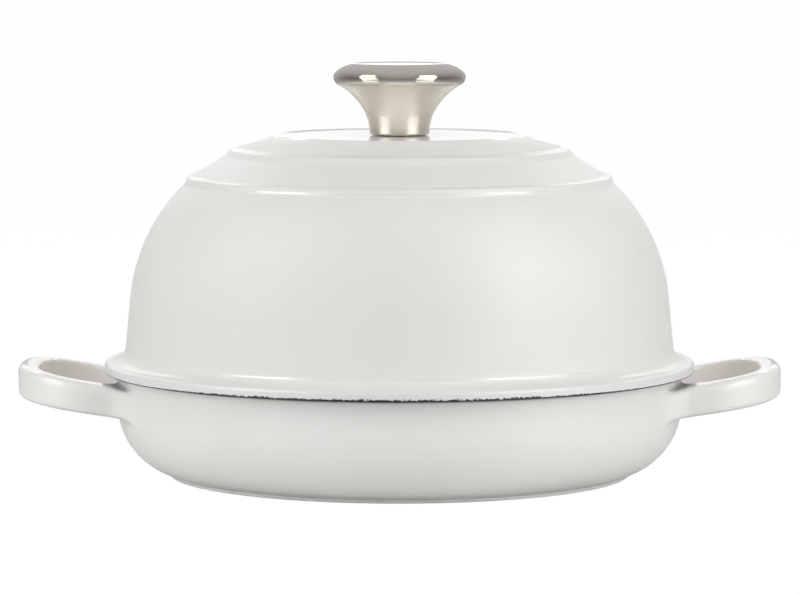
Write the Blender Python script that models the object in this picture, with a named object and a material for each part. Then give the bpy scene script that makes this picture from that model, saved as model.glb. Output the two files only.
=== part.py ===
"""A covered oven for baking bread: a shallow pan with two cast loops and a domed lid with a flared knob.

Units are metres and +Z is up. The origin is the middle of the foot's underside, and the loops lie along X.
The lid stands on the pan's rim and lifts straight up off it.
"""

import math
from typing import NamedTuple

import bmesh
import bpy

MM = 0.001

# Clearances
SEAT_GAP = 0.3 * MM  # between faces that rest on each other
LIP_CLEARANCE = 1.2 * MM  # between the lid's lip and the inside of the pan
HOLE_CLEARANCE = 0.5 * MM  # round the screw, in the lid, the washer and the knob's floor
THREAD_CLEARANCE = 0.3 * MM  # round the screw, in the bush
COLLAR_CLEARANCE = 0.5 * MM  # between the bush's collar and the knob's stem
RIM_CLEARANCE = 0.3 * MM  # between the knob's rim and the skirt of its cap

# Pan
PAN_RADIUS = 121.7 * MM
PAN_CORNER_RADIUS = 29.5 * MM  # of the outside, where the wall turns into the underside
RIM_HEIGHT = 44.7 * MM
RIM_ROUNDING = 1.0 * MM
PAN_WALL = 4.0 * MM
FOOT_REACH = 7.3 * MM  # of the foot's disc, outwards from the start of the corner
FOOT_HEIGHT = 1.5 * MM
FOOT_ROUNDING = 0.5 * MM
RIDGE_COUNT = 4
RIDGE_FIRST_RADIUS = 36.0 * MM
RIDGE_SPACING = 15.0 * MM
RIDGE_WIDTH = 2.4 * MM
RIDGE_FLANK = 1.6 * MM
RIDGE_HEIGHT = 1.3 * MM

# Loops, cast in one with the pan
HOLE_OFFSET = 16.6 * MM  # from the pan's wall to the middle of the finger hole
HOLE_REACH = 17.3 * MM  # from there to the end of the hole
HOLE_ROOT_REACH = 19.5 * MM  # from there back towards the pan
HOLE_HALF_WIDTH = 31.5 * MM
HOLE_SQUARENESS = 2.6  # 2 is an ellipse, more is squarer
GRIP_END_WIDTH = 8.9 * MM
GRIP_SIDE_WIDTH = 10.8 * MM
GRIP_OFFSET = 7.8 * MM  # from the pan's wall to where the grip starts to curve round
GRIP_SQUARENESS = 2.42
GRIP_THICKNESS = 12.7 * MM  # at the pan's wall
GRIP_ROUNDING = 4.2 * MM
GRIP_TILT = math.radians(10.5)  # the top of a loop rises outwards
GRIP_UNDER_TILT = math.radians(8.4)  # and its underside a little less
GRIP_BELOW_RIM = 3.4 * MM  # at the pan's wall
ROOT_FILLET = 15.0 * MM  # in plan, where a loop's flanks run into the wall
ROOT_LAST_ANGLE = math.radians(150.0)  # round the hole, where its edge meets the wall
GRIP_STATIONS = 8
ROOT_STATIONS = 5
SECTION_CORNER_STEPS = 3

# Lid
FLANGE_OVERHANG = 5.5 * MM  # past the pan's wall
FLANGE_THICKNESS = 4.3 * MM
FLANGE_FILLET = 6.5 * MM
FLANGE_TOP_ROUNDING = 1.6 * MM
FLANGE_LOWER_ROUNDING = 0.5 * MM
LIP_DROP = 2.8 * MM  # below the seat
LIP_WALL = 1.8 * MM
LIP_ROUNDING = 0.6 * MM
LID_WALL = 4.5 * MM
WALL_DRAFT = math.radians(5.5)
DOME_START = 31.65 * MM  # above the seat
DOME_RADIUS = 78.8 * MM
DOME_STEPS = 7
DOME_INNER_STEPS = 9
PLATE_ANGLE = math.radians(78.2)  # round the dome's arc, from level
PLATE_RISE = 0.1 * MM
PLATE_ROUNDING = 1.2 * MM
PLATE_SLOPE_RUN = 4.8 * MM
PLATE_SLOPE_SINK = 0.95 * MM


class Ledge(NamedTuple):
    """A step that runs round the dome: where its edge is, how far it stands out and how it starts."""

    angle: float
    proud: float
    run: float
    start_sink: float
    foot_sink: float


LEDGES = (
    Ledge(math.radians(63.8), proud=0.8 * MM, run=7.0 * MM, start_sink=0.45 * MM, foot_sink=0.65 * MM),
    Ledge(math.radians(48.1), proud=1.3 * MM, run=5.1 * MM, start_sink=0.35 * MM, foot_sink=0.1 * MM),
)
LEDGE_DROP_RUN = 3.4 * MM  # along the arc, from a ledge's edge to its foot
LEDGE_FOOT_RUN = 5.0 * MM  # from the last foot to where the plain arc goes on
LEDGE_EDGE_ROUNDING = 1.3 * MM
LEDGE_FOOT_ROUNDING = 2.0 * MM
LEDGE_START_ROUNDING = 14.0 * MM

# Knob
STEM_RADIUS = 12.9 * MM
STEM_HEIGHT = 4.4 * MM  # from the knob's foot to the start of the flare
STEM_ROUNDING = 1.5 * MM
KNOB_WALL = 1.4 * MM
KNOB_FLOOR = 3.0 * MM
FLARE_RADIUS = 27.8 * MM  # of the hollow curve under the cap
FLARE_CENTRE_DROP = 3.0 * MM  # below the knob's foot
FLARE_STEPS = 6
KNOB_RIM_HEIGHT = 2.4 * MM
CAP_RADIUS = 28.6 * MM
CAP_EDGE_INSET = 0.7 * MM  # of the cap's lower edge
CAP_SKIRT_HEIGHT = 2.0 * MM
CAP_WALL = 1.5 * MM
CROWN_REACH = 17.5 * MM
CROWN_RISE = 7.6 * MM
CAP_FLAT_RADIUS = 19.6 * MM
CROWN_STEPS = 6

# Fastening of the knob, from below the dome
SCREW_RADIUS = 3.0 * MM
SCREW_POINT = 0.6 * MM
SCREW_HEAD_RADIUS = 5.8 * MM
SCREW_HEAD_HEIGHT = 3.6 * MM
SCREW_HEAD_ROUNDING = 2.2 * MM
SCREW_ENGAGEMENT = 10.0 * MM  # in the bush
RECESS_LENGTH = 6.4 * MM
RECESS_WIDTH = 1.3 * MM
RECESS_DEPTH = 1.7 * MM
WASHER_RADIUS = 9.0 * MM
WASHER_THICKNESS = 1.2 * MM
BUSH_RADIUS = 6.5 * MM
BUSH_HEIGHT = 14.0 * MM
BUSH_COLLAR_HEIGHT = 2.5 * MM

# Facets
BIG_TURN_STEPS = 48
SMALL_TURN_STEPS = 26
ROUNDING_STEP = math.radians(30.0)
SHARP_ANGLE = math.radians(35.0)
WELD = 0.01 * MM
CUTTER_MARGIN = 10.0 * MM

# Heights and radii that follow from the sizes above
CORNER_CENTRE_RADIUS = PAN_RADIUS - PAN_CORNER_RADIUS
FOOT_RADIUS = CORNER_CENTRE_RADIUS + FOOT_REACH
CORNER_CENTRE_HEIGHT = FOOT_HEIGHT + math.sqrt(PAN_CORNER_RADIUS**2 - FOOT_REACH**2)
SEAT_HEIGHT = RIM_HEIGHT + SEAT_GAP
LIP_RADIUS = PAN_RADIUS - PAN_WALL - LIP_CLEARANCE
LID_INNER_RADIUS = LIP_RADIUS - LIP_WALL
LID_OUTER_RADIUS = LID_INNER_RADIUS + LID_WALL / math.cos(WALL_DRAFT)
DOME_CENTRE_RADIUS = (
    LID_OUTER_RADIUS - DOME_START * math.tan(WALL_DRAFT) - DOME_RADIUS * math.cos(WALL_DRAFT)
)
DOME_CENTRE_HEIGHT = DOME_START - DOME_RADIUS * math.sin(WALL_DRAFT)
FLARE_CENTRE_RADIUS = STEM_RADIUS + math.sqrt(FLARE_RADIUS**2 - (STEM_HEIGHT + FLARE_CENTRE_DROP) ** 2)
CAP_SEAT_RADIUS = CAP_RADIUS - CAP_EDGE_INSET
SCREW_HOLE_RADIUS = SCREW_RADIUS + HOLE_CLEARANCE


class Corner(NamedTuple):
    """A corner of a turned outline: distance from the axis, height and rounding."""

    r: float
    z: float
    rounding: float = 0.0


class Finish(NamedTuple):
    """Colour, roughness and metallic value of a piece."""

    colour: tuple
    roughness: float
    metallic: float


WHITE_ENAMEL = Finish((0.80, 0.795, 0.78, 1.0), 0.18, 0.0)
BRUSHED_STEEL = Finish((0.60, 0.585, 0.56, 1.0), 0.34, 1.0)
POLISHED_STEEL = Finish((0.56, 0.55, 0.53, 1.0), 0.16, 1.0)
PLAIN_STEEL = Finish((0.50, 0.50, 0.50, 1.0), 0.30, 1.0)


def clear_scene():
    """Remove every object of the open scene."""
    for thing in list(bpy.data.objects):
        bpy.data.objects.remove(thing, do_unlink=True)


def material(name, finish):
    """A Principled material with one finish."""
    made = bpy.data.materials.new(name)
    made.use_nodes = True
    shader = made.node_tree.nodes["Principled BSDF"]
    shader.inputs["Base Color"].default_value = finish.colour
    shader.inputs["Roughness"].default_value = finish.roughness
    shader.inputs["Metallic"].default_value = finish.metallic
    made.diffuse_color = finish.colour
    return made


def add_object(name, mesh_data, finish=None):
    """Turn a bmesh into a smooth shaded object of the scene."""
    bmesh.ops.recalc_face_normals(mesh_data, faces=mesh_data.faces)
    mesh = bpy.data.meshes.new(name)
    mesh_data.to_mesh(mesh)
    mesh_data.free()
    mesh.shade_smooth()
    mesh.set_sharp_from_angle(angle=SHARP_ANGLE)
    made = bpy.data.objects.new(name, mesh)
    bpy.context.collection.objects.link(made)
    if finish is not None:
        mesh.materials.append(material(name, finish))
    return made


def as_guide(guide):
    """Mark an object as a cutter or guide, which is not part of the product."""
    guide.hide_render = True
    guide.display_type = "WIRE"
    return guide


def combine(target, operation, other):
    """Add an exact Boolean of another object to a target."""
    step = target.modifiers.new(f"{operation.lower()} {other.name}", "BOOLEAN")
    step.operation = operation
    step.solver = "EXACT"
    step.object = other


def rounded_outline(corners, closed):
    """Points of an outline whose corners are rounded with arcs, each held within its two edges."""
    count = len(corners)
    tangents = []
    for index, corner in enumerate(corners):
        before, after = corners[index - 1], corners[(index + 1) % count]
        if corner.rounding <= 0 or (not closed and index in (0, count - 1)):
            tangents.append(0.0)
            continue
        inwards = math.atan2(before.z - corner.z, before.r - corner.r)
        onwards = math.atan2(after.z - corner.z, after.r - corner.r)
        opening = abs((inwards - onwards + math.pi) % (2 * math.pi) - math.pi)
        tangents.append(corner.rounding / math.tan(opening / 2))
    limited = list(tangents)
    for index in range(count if closed else count - 1):
        following = (index + 1) % count
        length = math.dist(corners[index][:2], corners[following][:2])
        wanted = tangents[index] + tangents[following]
        if wanted > 0.98 * length:
            share = 0.98 * length / wanted
            limited[index] = min(limited[index], tangents[index] * share)
            limited[following] = min(limited[following], tangents[following] * share)
    points = []
    for index, corner in enumerate(corners):
        points += rounded_corner(
            corners[index - 1], corner, corners[(index + 1) % count], limited[index]
        )
    return points


def rounded_corner(before, corner, after, tangent):
    """The points of one corner: the corner itself, or an arc that touches both of its edges."""
    if tangent <= 0:
        return [(corner.r, corner.z)]
    ends = []
    for other in (before, after):
        length = math.dist(corner[:2], other[:2])
        step_r = (other.r - corner.r) / length
        step_z = (other.z - corner.z) / length
        ends.append((step_r, step_z))
    (in_r, in_z), (out_r, out_z) = ends
    opening = math.acos(max(-1.0, min(1.0, in_r * out_r + in_z * out_z)))
    radius = tangent * math.tan(opening / 2)
    middle_r, middle_z = in_r + out_r, in_z + out_z
    to_centre = radius / math.sin(opening / 2) / math.hypot(middle_r, middle_z)
    centre_r = corner.r + middle_r * to_centre
    centre_z = corner.z + middle_z * to_centre
    start = math.atan2(corner.z + in_z * tangent - centre_z, corner.r + in_r * tangent - centre_r)
    end = math.atan2(corner.z + out_z * tangent - centre_z, corner.r + out_r * tangent - centre_r)
    sweep = (end - start + math.pi) % (2 * math.pi) - math.pi
    steps = max(1, math.ceil(abs(sweep) / ROUNDING_STEP))
    points = []
    for step in range(steps + 1):
        angle = start + sweep * step / steps
        points.append((centre_r + radius * math.cos(angle), centre_z + radius * math.sin(angle)))
    return points


def arc_corners(centre_r, centre_z, reach, rise, start, end, steps):
    """Unrounded corners along an arc, or along an ellipse where the reach and the rise differ."""
    corners = []
    for step in range(steps + 1):
        angle = start + (end - start) * step / steps
        corners.append(
            Corner(centre_r + reach * math.cos(angle), centre_z + rise * math.sin(angle))
        )
    return corners


def turned(name, corners, closed, steps, finish=None):
    """Spin an outline round the Z axis. An open outline starts and ends on the axis."""
    points = rounded_outline(corners, closed)
    shape = bmesh.new()
    verts = [shape.verts.new((r, 0.0, z)) for r, z in points]
    ends = verts[1:] + verts[:1] if closed else verts[1:]
    edges = [shape.edges.new(pair) for pair in zip(verts, ends)]
    bmesh.ops.spin(
        shape,
        geom=verts + edges,
        cent=(0.0, 0.0, 0.0),
        axis=(0.0, 0.0, 1.0),
        angle=2 * math.pi,
        steps=steps,
        use_merge=True,
    )
    bmesh.ops.remove_doubles(shape, verts=shape.verts, dist=WELD)
    return add_object(name, shape, finish)


def pan_outside():
    """Corners of the pan's outside, from the middle of the foot up to the rim."""
    foot = math.atan2(FOOT_HEIGHT - CORNER_CENTRE_HEIGHT, FOOT_REACH)
    corners = [Corner(0.0, 0.0), Corner(FOOT_RADIUS, 0.0, FOOT_ROUNDING)]
    corners += arc_corners(
        CORNER_CENTRE_RADIUS,
        CORNER_CENTRE_HEIGHT,
        PAN_CORNER_RADIUS,
        PAN_CORNER_RADIUS,
        foot,
        0.0,
        7,
    )
    corners.append(Corner(PAN_RADIUS, RIM_HEIGHT, RIM_ROUNDING))
    return corners


def pan_inside():
    """Corners of the pan's inside, from the rim down to the middle of the floor, with its ridges."""
    radius = PAN_CORNER_RADIUS - PAN_WALL
    floor = CORNER_CENTRE_HEIGHT - radius
    corners = [Corner(PAN_RADIUS - PAN_WALL, RIM_HEIGHT, RIM_ROUNDING)]
    corners += arc_corners(
        CORNER_CENTRE_RADIUS, CORNER_CENTRE_HEIGHT, radius, radius, 0.0, -math.pi / 2, 6
    )
    for ridge in reversed(range(RIDGE_COUNT)):
        middle = RIDGE_FIRST_RADIUS + ridge * RIDGE_SPACING
        for side in (1, -1):
            top = Corner(middle + side * RIDGE_WIDTH / 2, floor + RIDGE_HEIGHT)
            foot = Corner(middle + side * (RIDGE_WIDTH / 2 + RIDGE_FLANK), floor)
            corners += [foot, top] if side == 1 else [top, foot]
    corners.append(Corner(0.0, floor))
    return corners


def superellipse(centre, reach, half_width, squareness, angle):
    """A point in plan on a squared ellipse that is centred on the X axis."""
    along, across = math.cos(angle), math.sin(angle)
    x = centre + reach * math.copysign(abs(along) ** (2 / squareness), along)
    y = half_width * math.copysign(abs(across) ** (2 / squareness), across)
    return x, y


def loop_plan():
    """Matching points of a loop's outer and inner edge in plan, from its end round to the pan's wall."""
    hole_centre = PAN_RADIUS + HOLE_OFFSET
    grip_centre = PAN_RADIUS + GRIP_OFFSET
    grip_reach = hole_centre + HOLE_REACH + GRIP_END_WIDTH - grip_centre
    grip_half_width = HOLE_HALF_WIDTH + GRIP_SIDE_WIDTH
    pairs = []
    for station in range(GRIP_STATIONS + 1):
        angle = math.pi / 2 * station / GRIP_STATIONS
        outer = superellipse(grip_centre, grip_reach, grip_half_width, GRIP_SQUARENESS, angle)
        inner = superellipse(hole_centre, HOLE_REACH, HOLE_HALF_WIDTH, HOLE_SQUARENESS, angle)
        pairs.append((outer, inner))

    # The flank runs into the wall along an arc that touches both
    fillet_y = grip_half_width + ROOT_FILLET
    fillet_x = math.sqrt((PAN_RADIUS + ROOT_FILLET) ** 2 - fillet_y**2)
    wall_angle = math.atan2(fillet_y, fillet_x)
    sweep = math.pi / 2 - wall_angle
    for station in range(ROOT_STATIONS + 1):
        share = station / ROOT_STATIONS
        angle = -math.pi / 2 - sweep * share
        outer = (
            fillet_x + ROOT_FILLET * math.cos(angle),
            fillet_y + ROOT_FILLET * math.sin(angle),
        )
        hole_angle = math.pi / 2 + (ROOT_LAST_ANGLE - math.pi / 2) * (station + 1) / (ROOT_STATIONS + 1)
        inner = superellipse(
            hole_centre, HOLE_ROOT_REACH, HOLE_HALF_WIDTH, HOLE_SQUARENESS, hole_angle
        )
        pairs.append((outer, inner))

    # The last station lies inside the pan, where it is trimmed off
    buried = PAN_RADIUS - PAN_WALL - CUTTER_MARGIN
    last_x, last_y = pairs[-1][1]
    hole_turn = math.atan2(last_y, last_x) - math.radians(1.5)
    outer = (buried * math.cos(wall_angle), buried * math.sin(wall_angle))
    inner = (buried * math.cos(hole_turn), buried * math.sin(hole_turn))
    pairs.append((outer, inner))
    return pairs


def grip_top(x):
    """Height of a loop's top at a distance from the pan's middle."""
    return RIM_HEIGHT - GRIP_BELOW_RIM + (x - PAN_RADIUS) * math.tan(GRIP_TILT)


def grip_underside(x):
    """Height of a loop's underside at a distance from the pan's middle."""
    wall_height = RIM_HEIGHT - GRIP_BELOW_RIM - GRIP_THICKNESS
    return wall_height + (x - PAN_RADIUS) * math.tan(GRIP_UNDER_TILT)


def grip_section(outer, inner):
    """A rounded section of a loop, from its inner to its outer edge, as points in space."""
    width = math.dist(outer, inner)
    rounding = min(GRIP_ROUNDING, 0.48 * width, 0.48 * GRIP_THICKNESS)
    points = []
    for quarter in range(4):
        middle_across = width - rounding if quarter in (0, 3) else rounding
        for step in range(SECTION_CORNER_STEPS + 1):
            angle = math.pi / 2 * (quarter + step / SECTION_CORNER_STEPS)
            share = (middle_across + rounding * math.cos(angle)) / width
            x = inner[0] + (outer[0] - inner[0]) * share
            y = inner[1] + (outer[1] - inner[1]) * share
            if quarter in (0, 1):
                z = grip_top(x) - rounding
            else:
                z = grip_underside(x) + rounding
            points.append((x, y, z + rounding * math.sin(angle)))
    return points


def loop(name, side):
    """One cast loop as a closed loft, on the side of the pan that its sign gives."""
    half = loop_plan()
    mirrored = [((o[0], -o[1]), (i[0], -i[1])) for o, i in half[1:]]
    stations = list(reversed(mirrored)) + half
    shape = bmesh.new()
    rings = []
    for outer, inner in stations:
        section = grip_section(outer, inner)
        rings.append([shape.verts.new((side * x, y, z)) for x, y, z in section])
    count = len(rings[0])
    for ring, following in zip(rings, rings[1:]):
        for index in range(count):
            after = (index + 1) % count
            shape.faces.new((ring[index], ring[after], following[after], following[index]))
    shape.faces.new(rings[0])
    shape.faces.new(reversed(rings[-1]))
    made = as_guide(add_object(name, shape))
    combine(made, "DIFFERENCE", wall_trimmer(name + "_trim"))
    return made


def wall_trimmer(name):
    """A plug as wide as the middle of the pan's wall, which ends the loops inside the metal."""
    radius = PAN_RADIUS - PAN_WALL / 2
    corners = [
        Corner(0.0, -CUTTER_MARGIN),
        Corner(radius, -CUTTER_MARGIN),
        Corner(radius, RIM_HEIGHT + CUTTER_MARGIN),
        Corner(0.0, RIM_HEIGHT + CUTTER_MARGIN),
    ]
    return as_guide(turned(name, corners, False, BIG_TURN_STEPS))


def base_pan():
    """The cast pan with its foot, ridged floor and two loops."""
    made = turned("base_pan", pan_outside() + pan_inside(), False, BIG_TURN_STEPS, WHITE_ENAMEL)
    combine(made, "UNION", loop("loop_right", 1))
    combine(made, "UNION", loop("loop_left", -1))
    return made


def dome_point(angle, proud, rounding=0.0):
    """A corner on the dome's arc, or as far out of it as proud says. Heights are above the seat."""
    distance = DOME_RADIUS + proud
    return Corner(
        DOME_CENTRE_RADIUS + distance * math.cos(angle),
        DOME_CENTRE_HEIGHT + distance * math.sin(angle),
        rounding,
    )


def plate_height():
    """Height of the lid's top plate above the seat."""
    return dome_point(PLATE_ANGLE, 0.0).z + PLATE_RISE


def lid_underside_height():
    """Height above the seat of the flat under the lid's top plate."""
    return dome_point(PLATE_ANGLE, 0.0).z - LID_WALL


def lid_outside():
    """Corners of the lid's outside, from the plate's hole down to the flange."""
    plate = dome_point(PLATE_ANGLE, PLATE_RISE)
    corners = [Corner(SCREW_HOLE_RADIUS, plate_height()), Corner(plate.r, plate_height(), PLATE_ROUNDING)]
    slope_angle = PLATE_ANGLE - PLATE_SLOPE_RUN / DOME_RADIUS
    corners.append(dome_point(slope_angle, -PLATE_SLOPE_SINK, LEDGE_START_ROUNDING))
    for ledge in LEDGES:
        start = ledge.angle + ledge.run / DOME_RADIUS
        foot = ledge.angle - LEDGE_DROP_RUN / DOME_RADIUS
        corners.append(dome_point(start, -ledge.start_sink, LEDGE_START_ROUNDING))
        corners.append(dome_point(ledge.angle, ledge.proud, LEDGE_EDGE_ROUNDING))
        corners.append(dome_point(foot, -ledge.foot_sink, LEDGE_FOOT_ROUNDING))
    first = LEDGES[-1].angle - (LEDGE_DROP_RUN + LEDGE_FOOT_RUN) / DOME_RADIUS
    for step in range(DOME_STEPS + 1):
        corners.append(dome_point(first + (WALL_DRAFT - first) * step / DOME_STEPS, 0.0))
    flange_radius = PAN_RADIUS + FLANGE_OVERHANG
    wall_foot = LID_OUTER_RADIUS - FLANGE_THICKNESS * math.tan(WALL_DRAFT)
    corners += [
        Corner(wall_foot, FLANGE_THICKNESS, FLANGE_FILLET),
        Corner(flange_radius, FLANGE_THICKNESS, FLANGE_TOP_ROUNDING),
        Corner(flange_radius, 0.0, FLANGE_LOWER_ROUNDING),
    ]
    return corners


def lid_inside():
    """Corners of the lid's underside, from the seat and its lip up to the plate's hole."""
    lip_foot = LID_INNER_RADIUS + LIP_DROP * math.tan(WALL_DRAFT)
    radius = DOME_RADIUS - LID_WALL
    top = math.asin((lid_underside_height() - DOME_CENTRE_HEIGHT) / radius)
    corners = [
        Corner(LIP_RADIUS, 0.0),
        Corner(LIP_RADIUS, -LIP_DROP, LIP_ROUNDING),
        Corner(lip_foot, -LIP_DROP, LIP_ROUNDING),
    ]
    corners += arc_corners(
        DOME_CENTRE_RADIUS, DOME_CENTRE_HEIGHT, radius, radius, WALL_DRAFT, top, DOME_INNER_STEPS
    )
    corners.append(Corner(SCREW_HOLE_RADIUS, lid_underside_height()))
    return corners


def dome_lid():
    """The domed lid: plate, two ledges, flange, and a lip that finds the pan's rim."""
    return turned("dome_lid", lid_outside() + lid_inside(), True, BIG_TURN_STEPS, WHITE_ENAMEL)


def flare_height(radius, offset=0.0):
    """Height above the knob's foot at which the flare, or a curve inside it, reaches a radius."""
    reach = FLARE_RADIUS + offset
    return math.sqrt(reach**2 - (FLARE_CENTRE_RADIUS - radius) ** 2) - FLARE_CENTRE_DROP


def flare_corners(from_radius, to_radius, offset, rounding=0.0):
    """Corners along the flare between two radii, whichever way it is followed."""
    reach = FLARE_RADIUS + offset
    start = math.acos((from_radius - FLARE_CENTRE_RADIUS) / reach)
    end = math.acos((to_radius - FLARE_CENTRE_RADIUS) / reach)
    corners = arc_corners(
        FLARE_CENTRE_RADIUS, -FLARE_CENTRE_DROP, reach, reach, start, end, FLARE_STEPS
    )
    corners[-1] = corners[-1]._replace(rounding=rounding)
    return corners


def knob_body():
    """The knob's hollow stem and flare, with the rim that carries the cap."""
    rim_radius = CAP_RADIUS - CAP_WALL - RIM_CLEARANCE
    shelf = flare_height(CAP_SEAT_RADIUS)
    stem_inside = STEM_RADIUS - KNOB_WALL
    rim_inside = rim_radius - KNOB_WALL
    corners = [
        Corner(SCREW_HOLE_RADIUS, 0.0),
        Corner(STEM_RADIUS, 0.0, STEM_ROUNDING),
    ]
    corners += flare_corners(STEM_RADIUS, CAP_SEAT_RADIUS, 0.0)
    corners += [
        Corner(rim_radius, shelf),
        Corner(rim_radius, shelf + KNOB_RIM_HEIGHT),
        Corner(rim_inside, shelf + KNOB_RIM_HEIGHT),
    ]
    corners += flare_corners(rim_inside, stem_inside, KNOB_WALL)
    corners += [Corner(stem_inside, KNOB_FLOOR), Corner(SCREW_HOLE_RADIUS, KNOB_FLOOR)]
    return turned("knob_body", corners, True, SMALL_TURN_STEPS, BRUSHED_STEEL)


def knob_cap():
    """The knob's polished top, whose skirt stands on the flare's edge."""
    crown_centre = CAP_RADIUS - CROWN_REACH
    flat = math.acos((CAP_FLAT_RADIUS - crown_centre) / CROWN_REACH)
    top = CAP_SKIRT_HEIGHT + CROWN_RISE * math.sin(flat)
    inside_reach = CROWN_REACH - CAP_WALL
    inside_rise = CROWN_RISE - CAP_WALL
    inside_top = CAP_SKIRT_HEIGHT + inside_rise * math.sin(flat)
    corners = [Corner(0.0, top)]
    corners += arc_corners(
        crown_centre, CAP_SKIRT_HEIGHT, CROWN_REACH, CROWN_RISE, flat, 0.0, CROWN_STEPS
    )
    corners += [Corner(CAP_SEAT_RADIUS, 0.0), Corner(CAP_RADIUS - CAP_WALL, 0.0)]
    corners += arc_corners(
        crown_centre, CAP_SKIRT_HEIGHT, inside_reach, inside_rise, 0.0, flat, CROWN_STEPS - 1
    )
    corners.append(Corner(0.0, inside_top))
    return turned("knob_cap", corners, False, SMALL_TURN_STEPS, POLISHED_STEEL)


def knob_bush():
    """The threaded bush that the screw pulls down on the knob's floor."""
    bore = SCREW_RADIUS + THREAD_CLEARANCE
    collar = STEM_RADIUS - KNOB_WALL - COLLAR_CLEARANCE
    corners = [
        Corner(bore, 0.0),
        Corner(collar, 0.0),
        Corner(collar, BUSH_COLLAR_HEIGHT),
        Corner(BUSH_RADIUS, BUSH_COLLAR_HEIGHT),
        Corner(BUSH_RADIUS, BUSH_HEIGHT),
        Corner(bore, BUSH_HEIGHT),
    ]
    return turned("knob_bush", corners, True, SMALL_TURN_STEPS, PLAIN_STEEL)


def screw_washer():
    """The flat washer between the screw's head and the lid's underside."""
    corners = [
        Corner(SCREW_HOLE_RADIUS, 0.0),
        Corner(WASHER_RADIUS, 0.0),
        Corner(WASHER_RADIUS, WASHER_THICKNESS),
        Corner(SCREW_HOLE_RADIUS, WASHER_THICKNESS),
    ]
    return turned("screw_washer", corners, True, SMALL_TURN_STEPS, PLAIN_STEEL)


def knob_screw(length):
    """The screw that holds the knob, with its head below and a cross recess in it."""
    corners = [
        Corner(0.0, length),
        Corner(SCREW_RADIUS - SCREW_POINT, length),
        Corner(SCREW_RADIUS, length - SCREW_POINT),
        Corner(SCREW_RADIUS, 0.0),
        Corner(SCREW_HEAD_RADIUS, 0.0),
        Corner(SCREW_HEAD_RADIUS, -SCREW_HEAD_HEIGHT, SCREW_HEAD_ROUNDING),
        Corner(0.0, -SCREW_HEAD_HEIGHT),
    ]
    made = turned("knob_screw", corners, False, SMALL_TURN_STEPS, PLAIN_STEEL)
    for name, turn in (("recess_along", 0.0), ("recess_across", math.pi / 2)):
        cutter = recess_bar(name)
        cutter.parent = made
        cutter.rotation_euler.z = turn
        combine(made, "DIFFERENCE", cutter)
    return made


def recess_bar(name):
    """One bar of the cross recess, reaching down out of the head."""
    shape = bmesh.new()
    bmesh.ops.create_cube(shape, size=1.0)
    lowest = -SCREW_HEAD_HEIGHT - RECESS_DEPTH
    highest = -SCREW_HEAD_HEIGHT + RECESS_DEPTH
    bmesh.ops.scale(shape, vec=(RECESS_LENGTH, RECESS_WIDTH, highest - lowest), verts=shape.verts)
    bmesh.ops.translate(shape, vec=(0.0, 0.0, (lowest + highest) / 2), verts=shape.verts)
    return as_guide(add_object(name, shape))


def lid_carrier():
    """The empty on the line that the lid lifts along, at the middle of its seat."""
    carrier = bpy.data.objects.new("lid_lift", None)
    bpy.context.collection.objects.link(carrier)
    carrier.location.z = SEAT_HEIGHT
    return carrier


def build():
    """Make the pan, then the lid with all that is screwed to it, placed above the seat."""
    clear_scene()
    base_pan()
    carrier = lid_carrier()
    knob_foot = plate_height() + SEAT_GAP
    cap_seat = knob_foot + flare_height(CAP_SEAT_RADIUS) + SEAT_GAP
    bush_foot = knob_foot + KNOB_FLOOR + SEAT_GAP
    washer_foot = lid_underside_height() - SEAT_GAP - WASHER_THICKNESS
    screw_seat = washer_foot - SEAT_GAP
    placed = (
        (dome_lid(), 0.0),
        (knob_body(), knob_foot),
        (knob_cap(), cap_seat),
        (knob_bush(), bush_foot),
        (screw_washer(), washer_foot),
        (knob_screw(bush_foot + SCREW_ENGAGEMENT - screw_seat), screw_seat),
    )
    for piece, height in placed:
        piece.parent = carrier
        piece.location.z = height


build()
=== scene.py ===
"""A covered bread oven in enamelled cast iron, dressed for its picture.

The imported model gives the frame. Each sub-assembly is a class that holds its sizes in millimetres, builds its
meshes from turned outlines and lofts, and wears finishes that are worked out in nodes.
"""

import logging
import math
from dataclasses import dataclass
from enum import Enum
from typing import Any, Iterable, Optional, Sequence, Union

import bmesh
import bpy
import numpy as np
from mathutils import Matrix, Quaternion, Vector

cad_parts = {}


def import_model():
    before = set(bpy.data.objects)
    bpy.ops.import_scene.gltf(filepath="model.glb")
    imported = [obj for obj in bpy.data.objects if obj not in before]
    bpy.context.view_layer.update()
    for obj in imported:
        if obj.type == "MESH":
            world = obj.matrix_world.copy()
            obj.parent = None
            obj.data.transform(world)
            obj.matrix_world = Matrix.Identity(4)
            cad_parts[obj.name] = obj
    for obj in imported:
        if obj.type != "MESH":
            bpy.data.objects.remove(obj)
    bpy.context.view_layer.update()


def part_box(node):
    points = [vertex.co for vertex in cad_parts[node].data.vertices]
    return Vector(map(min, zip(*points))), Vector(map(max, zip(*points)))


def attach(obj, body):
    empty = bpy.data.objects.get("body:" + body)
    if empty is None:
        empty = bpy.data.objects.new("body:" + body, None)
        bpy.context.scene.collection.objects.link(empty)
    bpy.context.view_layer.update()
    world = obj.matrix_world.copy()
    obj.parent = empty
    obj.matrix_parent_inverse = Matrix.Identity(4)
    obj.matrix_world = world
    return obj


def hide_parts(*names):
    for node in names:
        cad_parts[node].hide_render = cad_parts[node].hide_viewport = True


MM = 0.001
LOG = logging.getLogger("bread_oven")

Point = tuple[float, float]
Span = tuple[float, float]
Colour = tuple[float, float, float, float]
Socket = bpy.types.NodeSocket
Inputs = dict[Union[str, int], Any]

SEAT_GAP = 0.3  # millimetres between faces that rest on each other
EDGE_SHARE = 0.98  # of an edge, the most that its two roundings take up
SAME_POINT = 0.0001  # millimetres
WHITE: Colour = (0.80, 0.789, 0.769, 1.0)


class Body(Enum):
    """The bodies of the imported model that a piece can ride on."""

    BASE = "base"
    LID = "lid"


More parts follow.
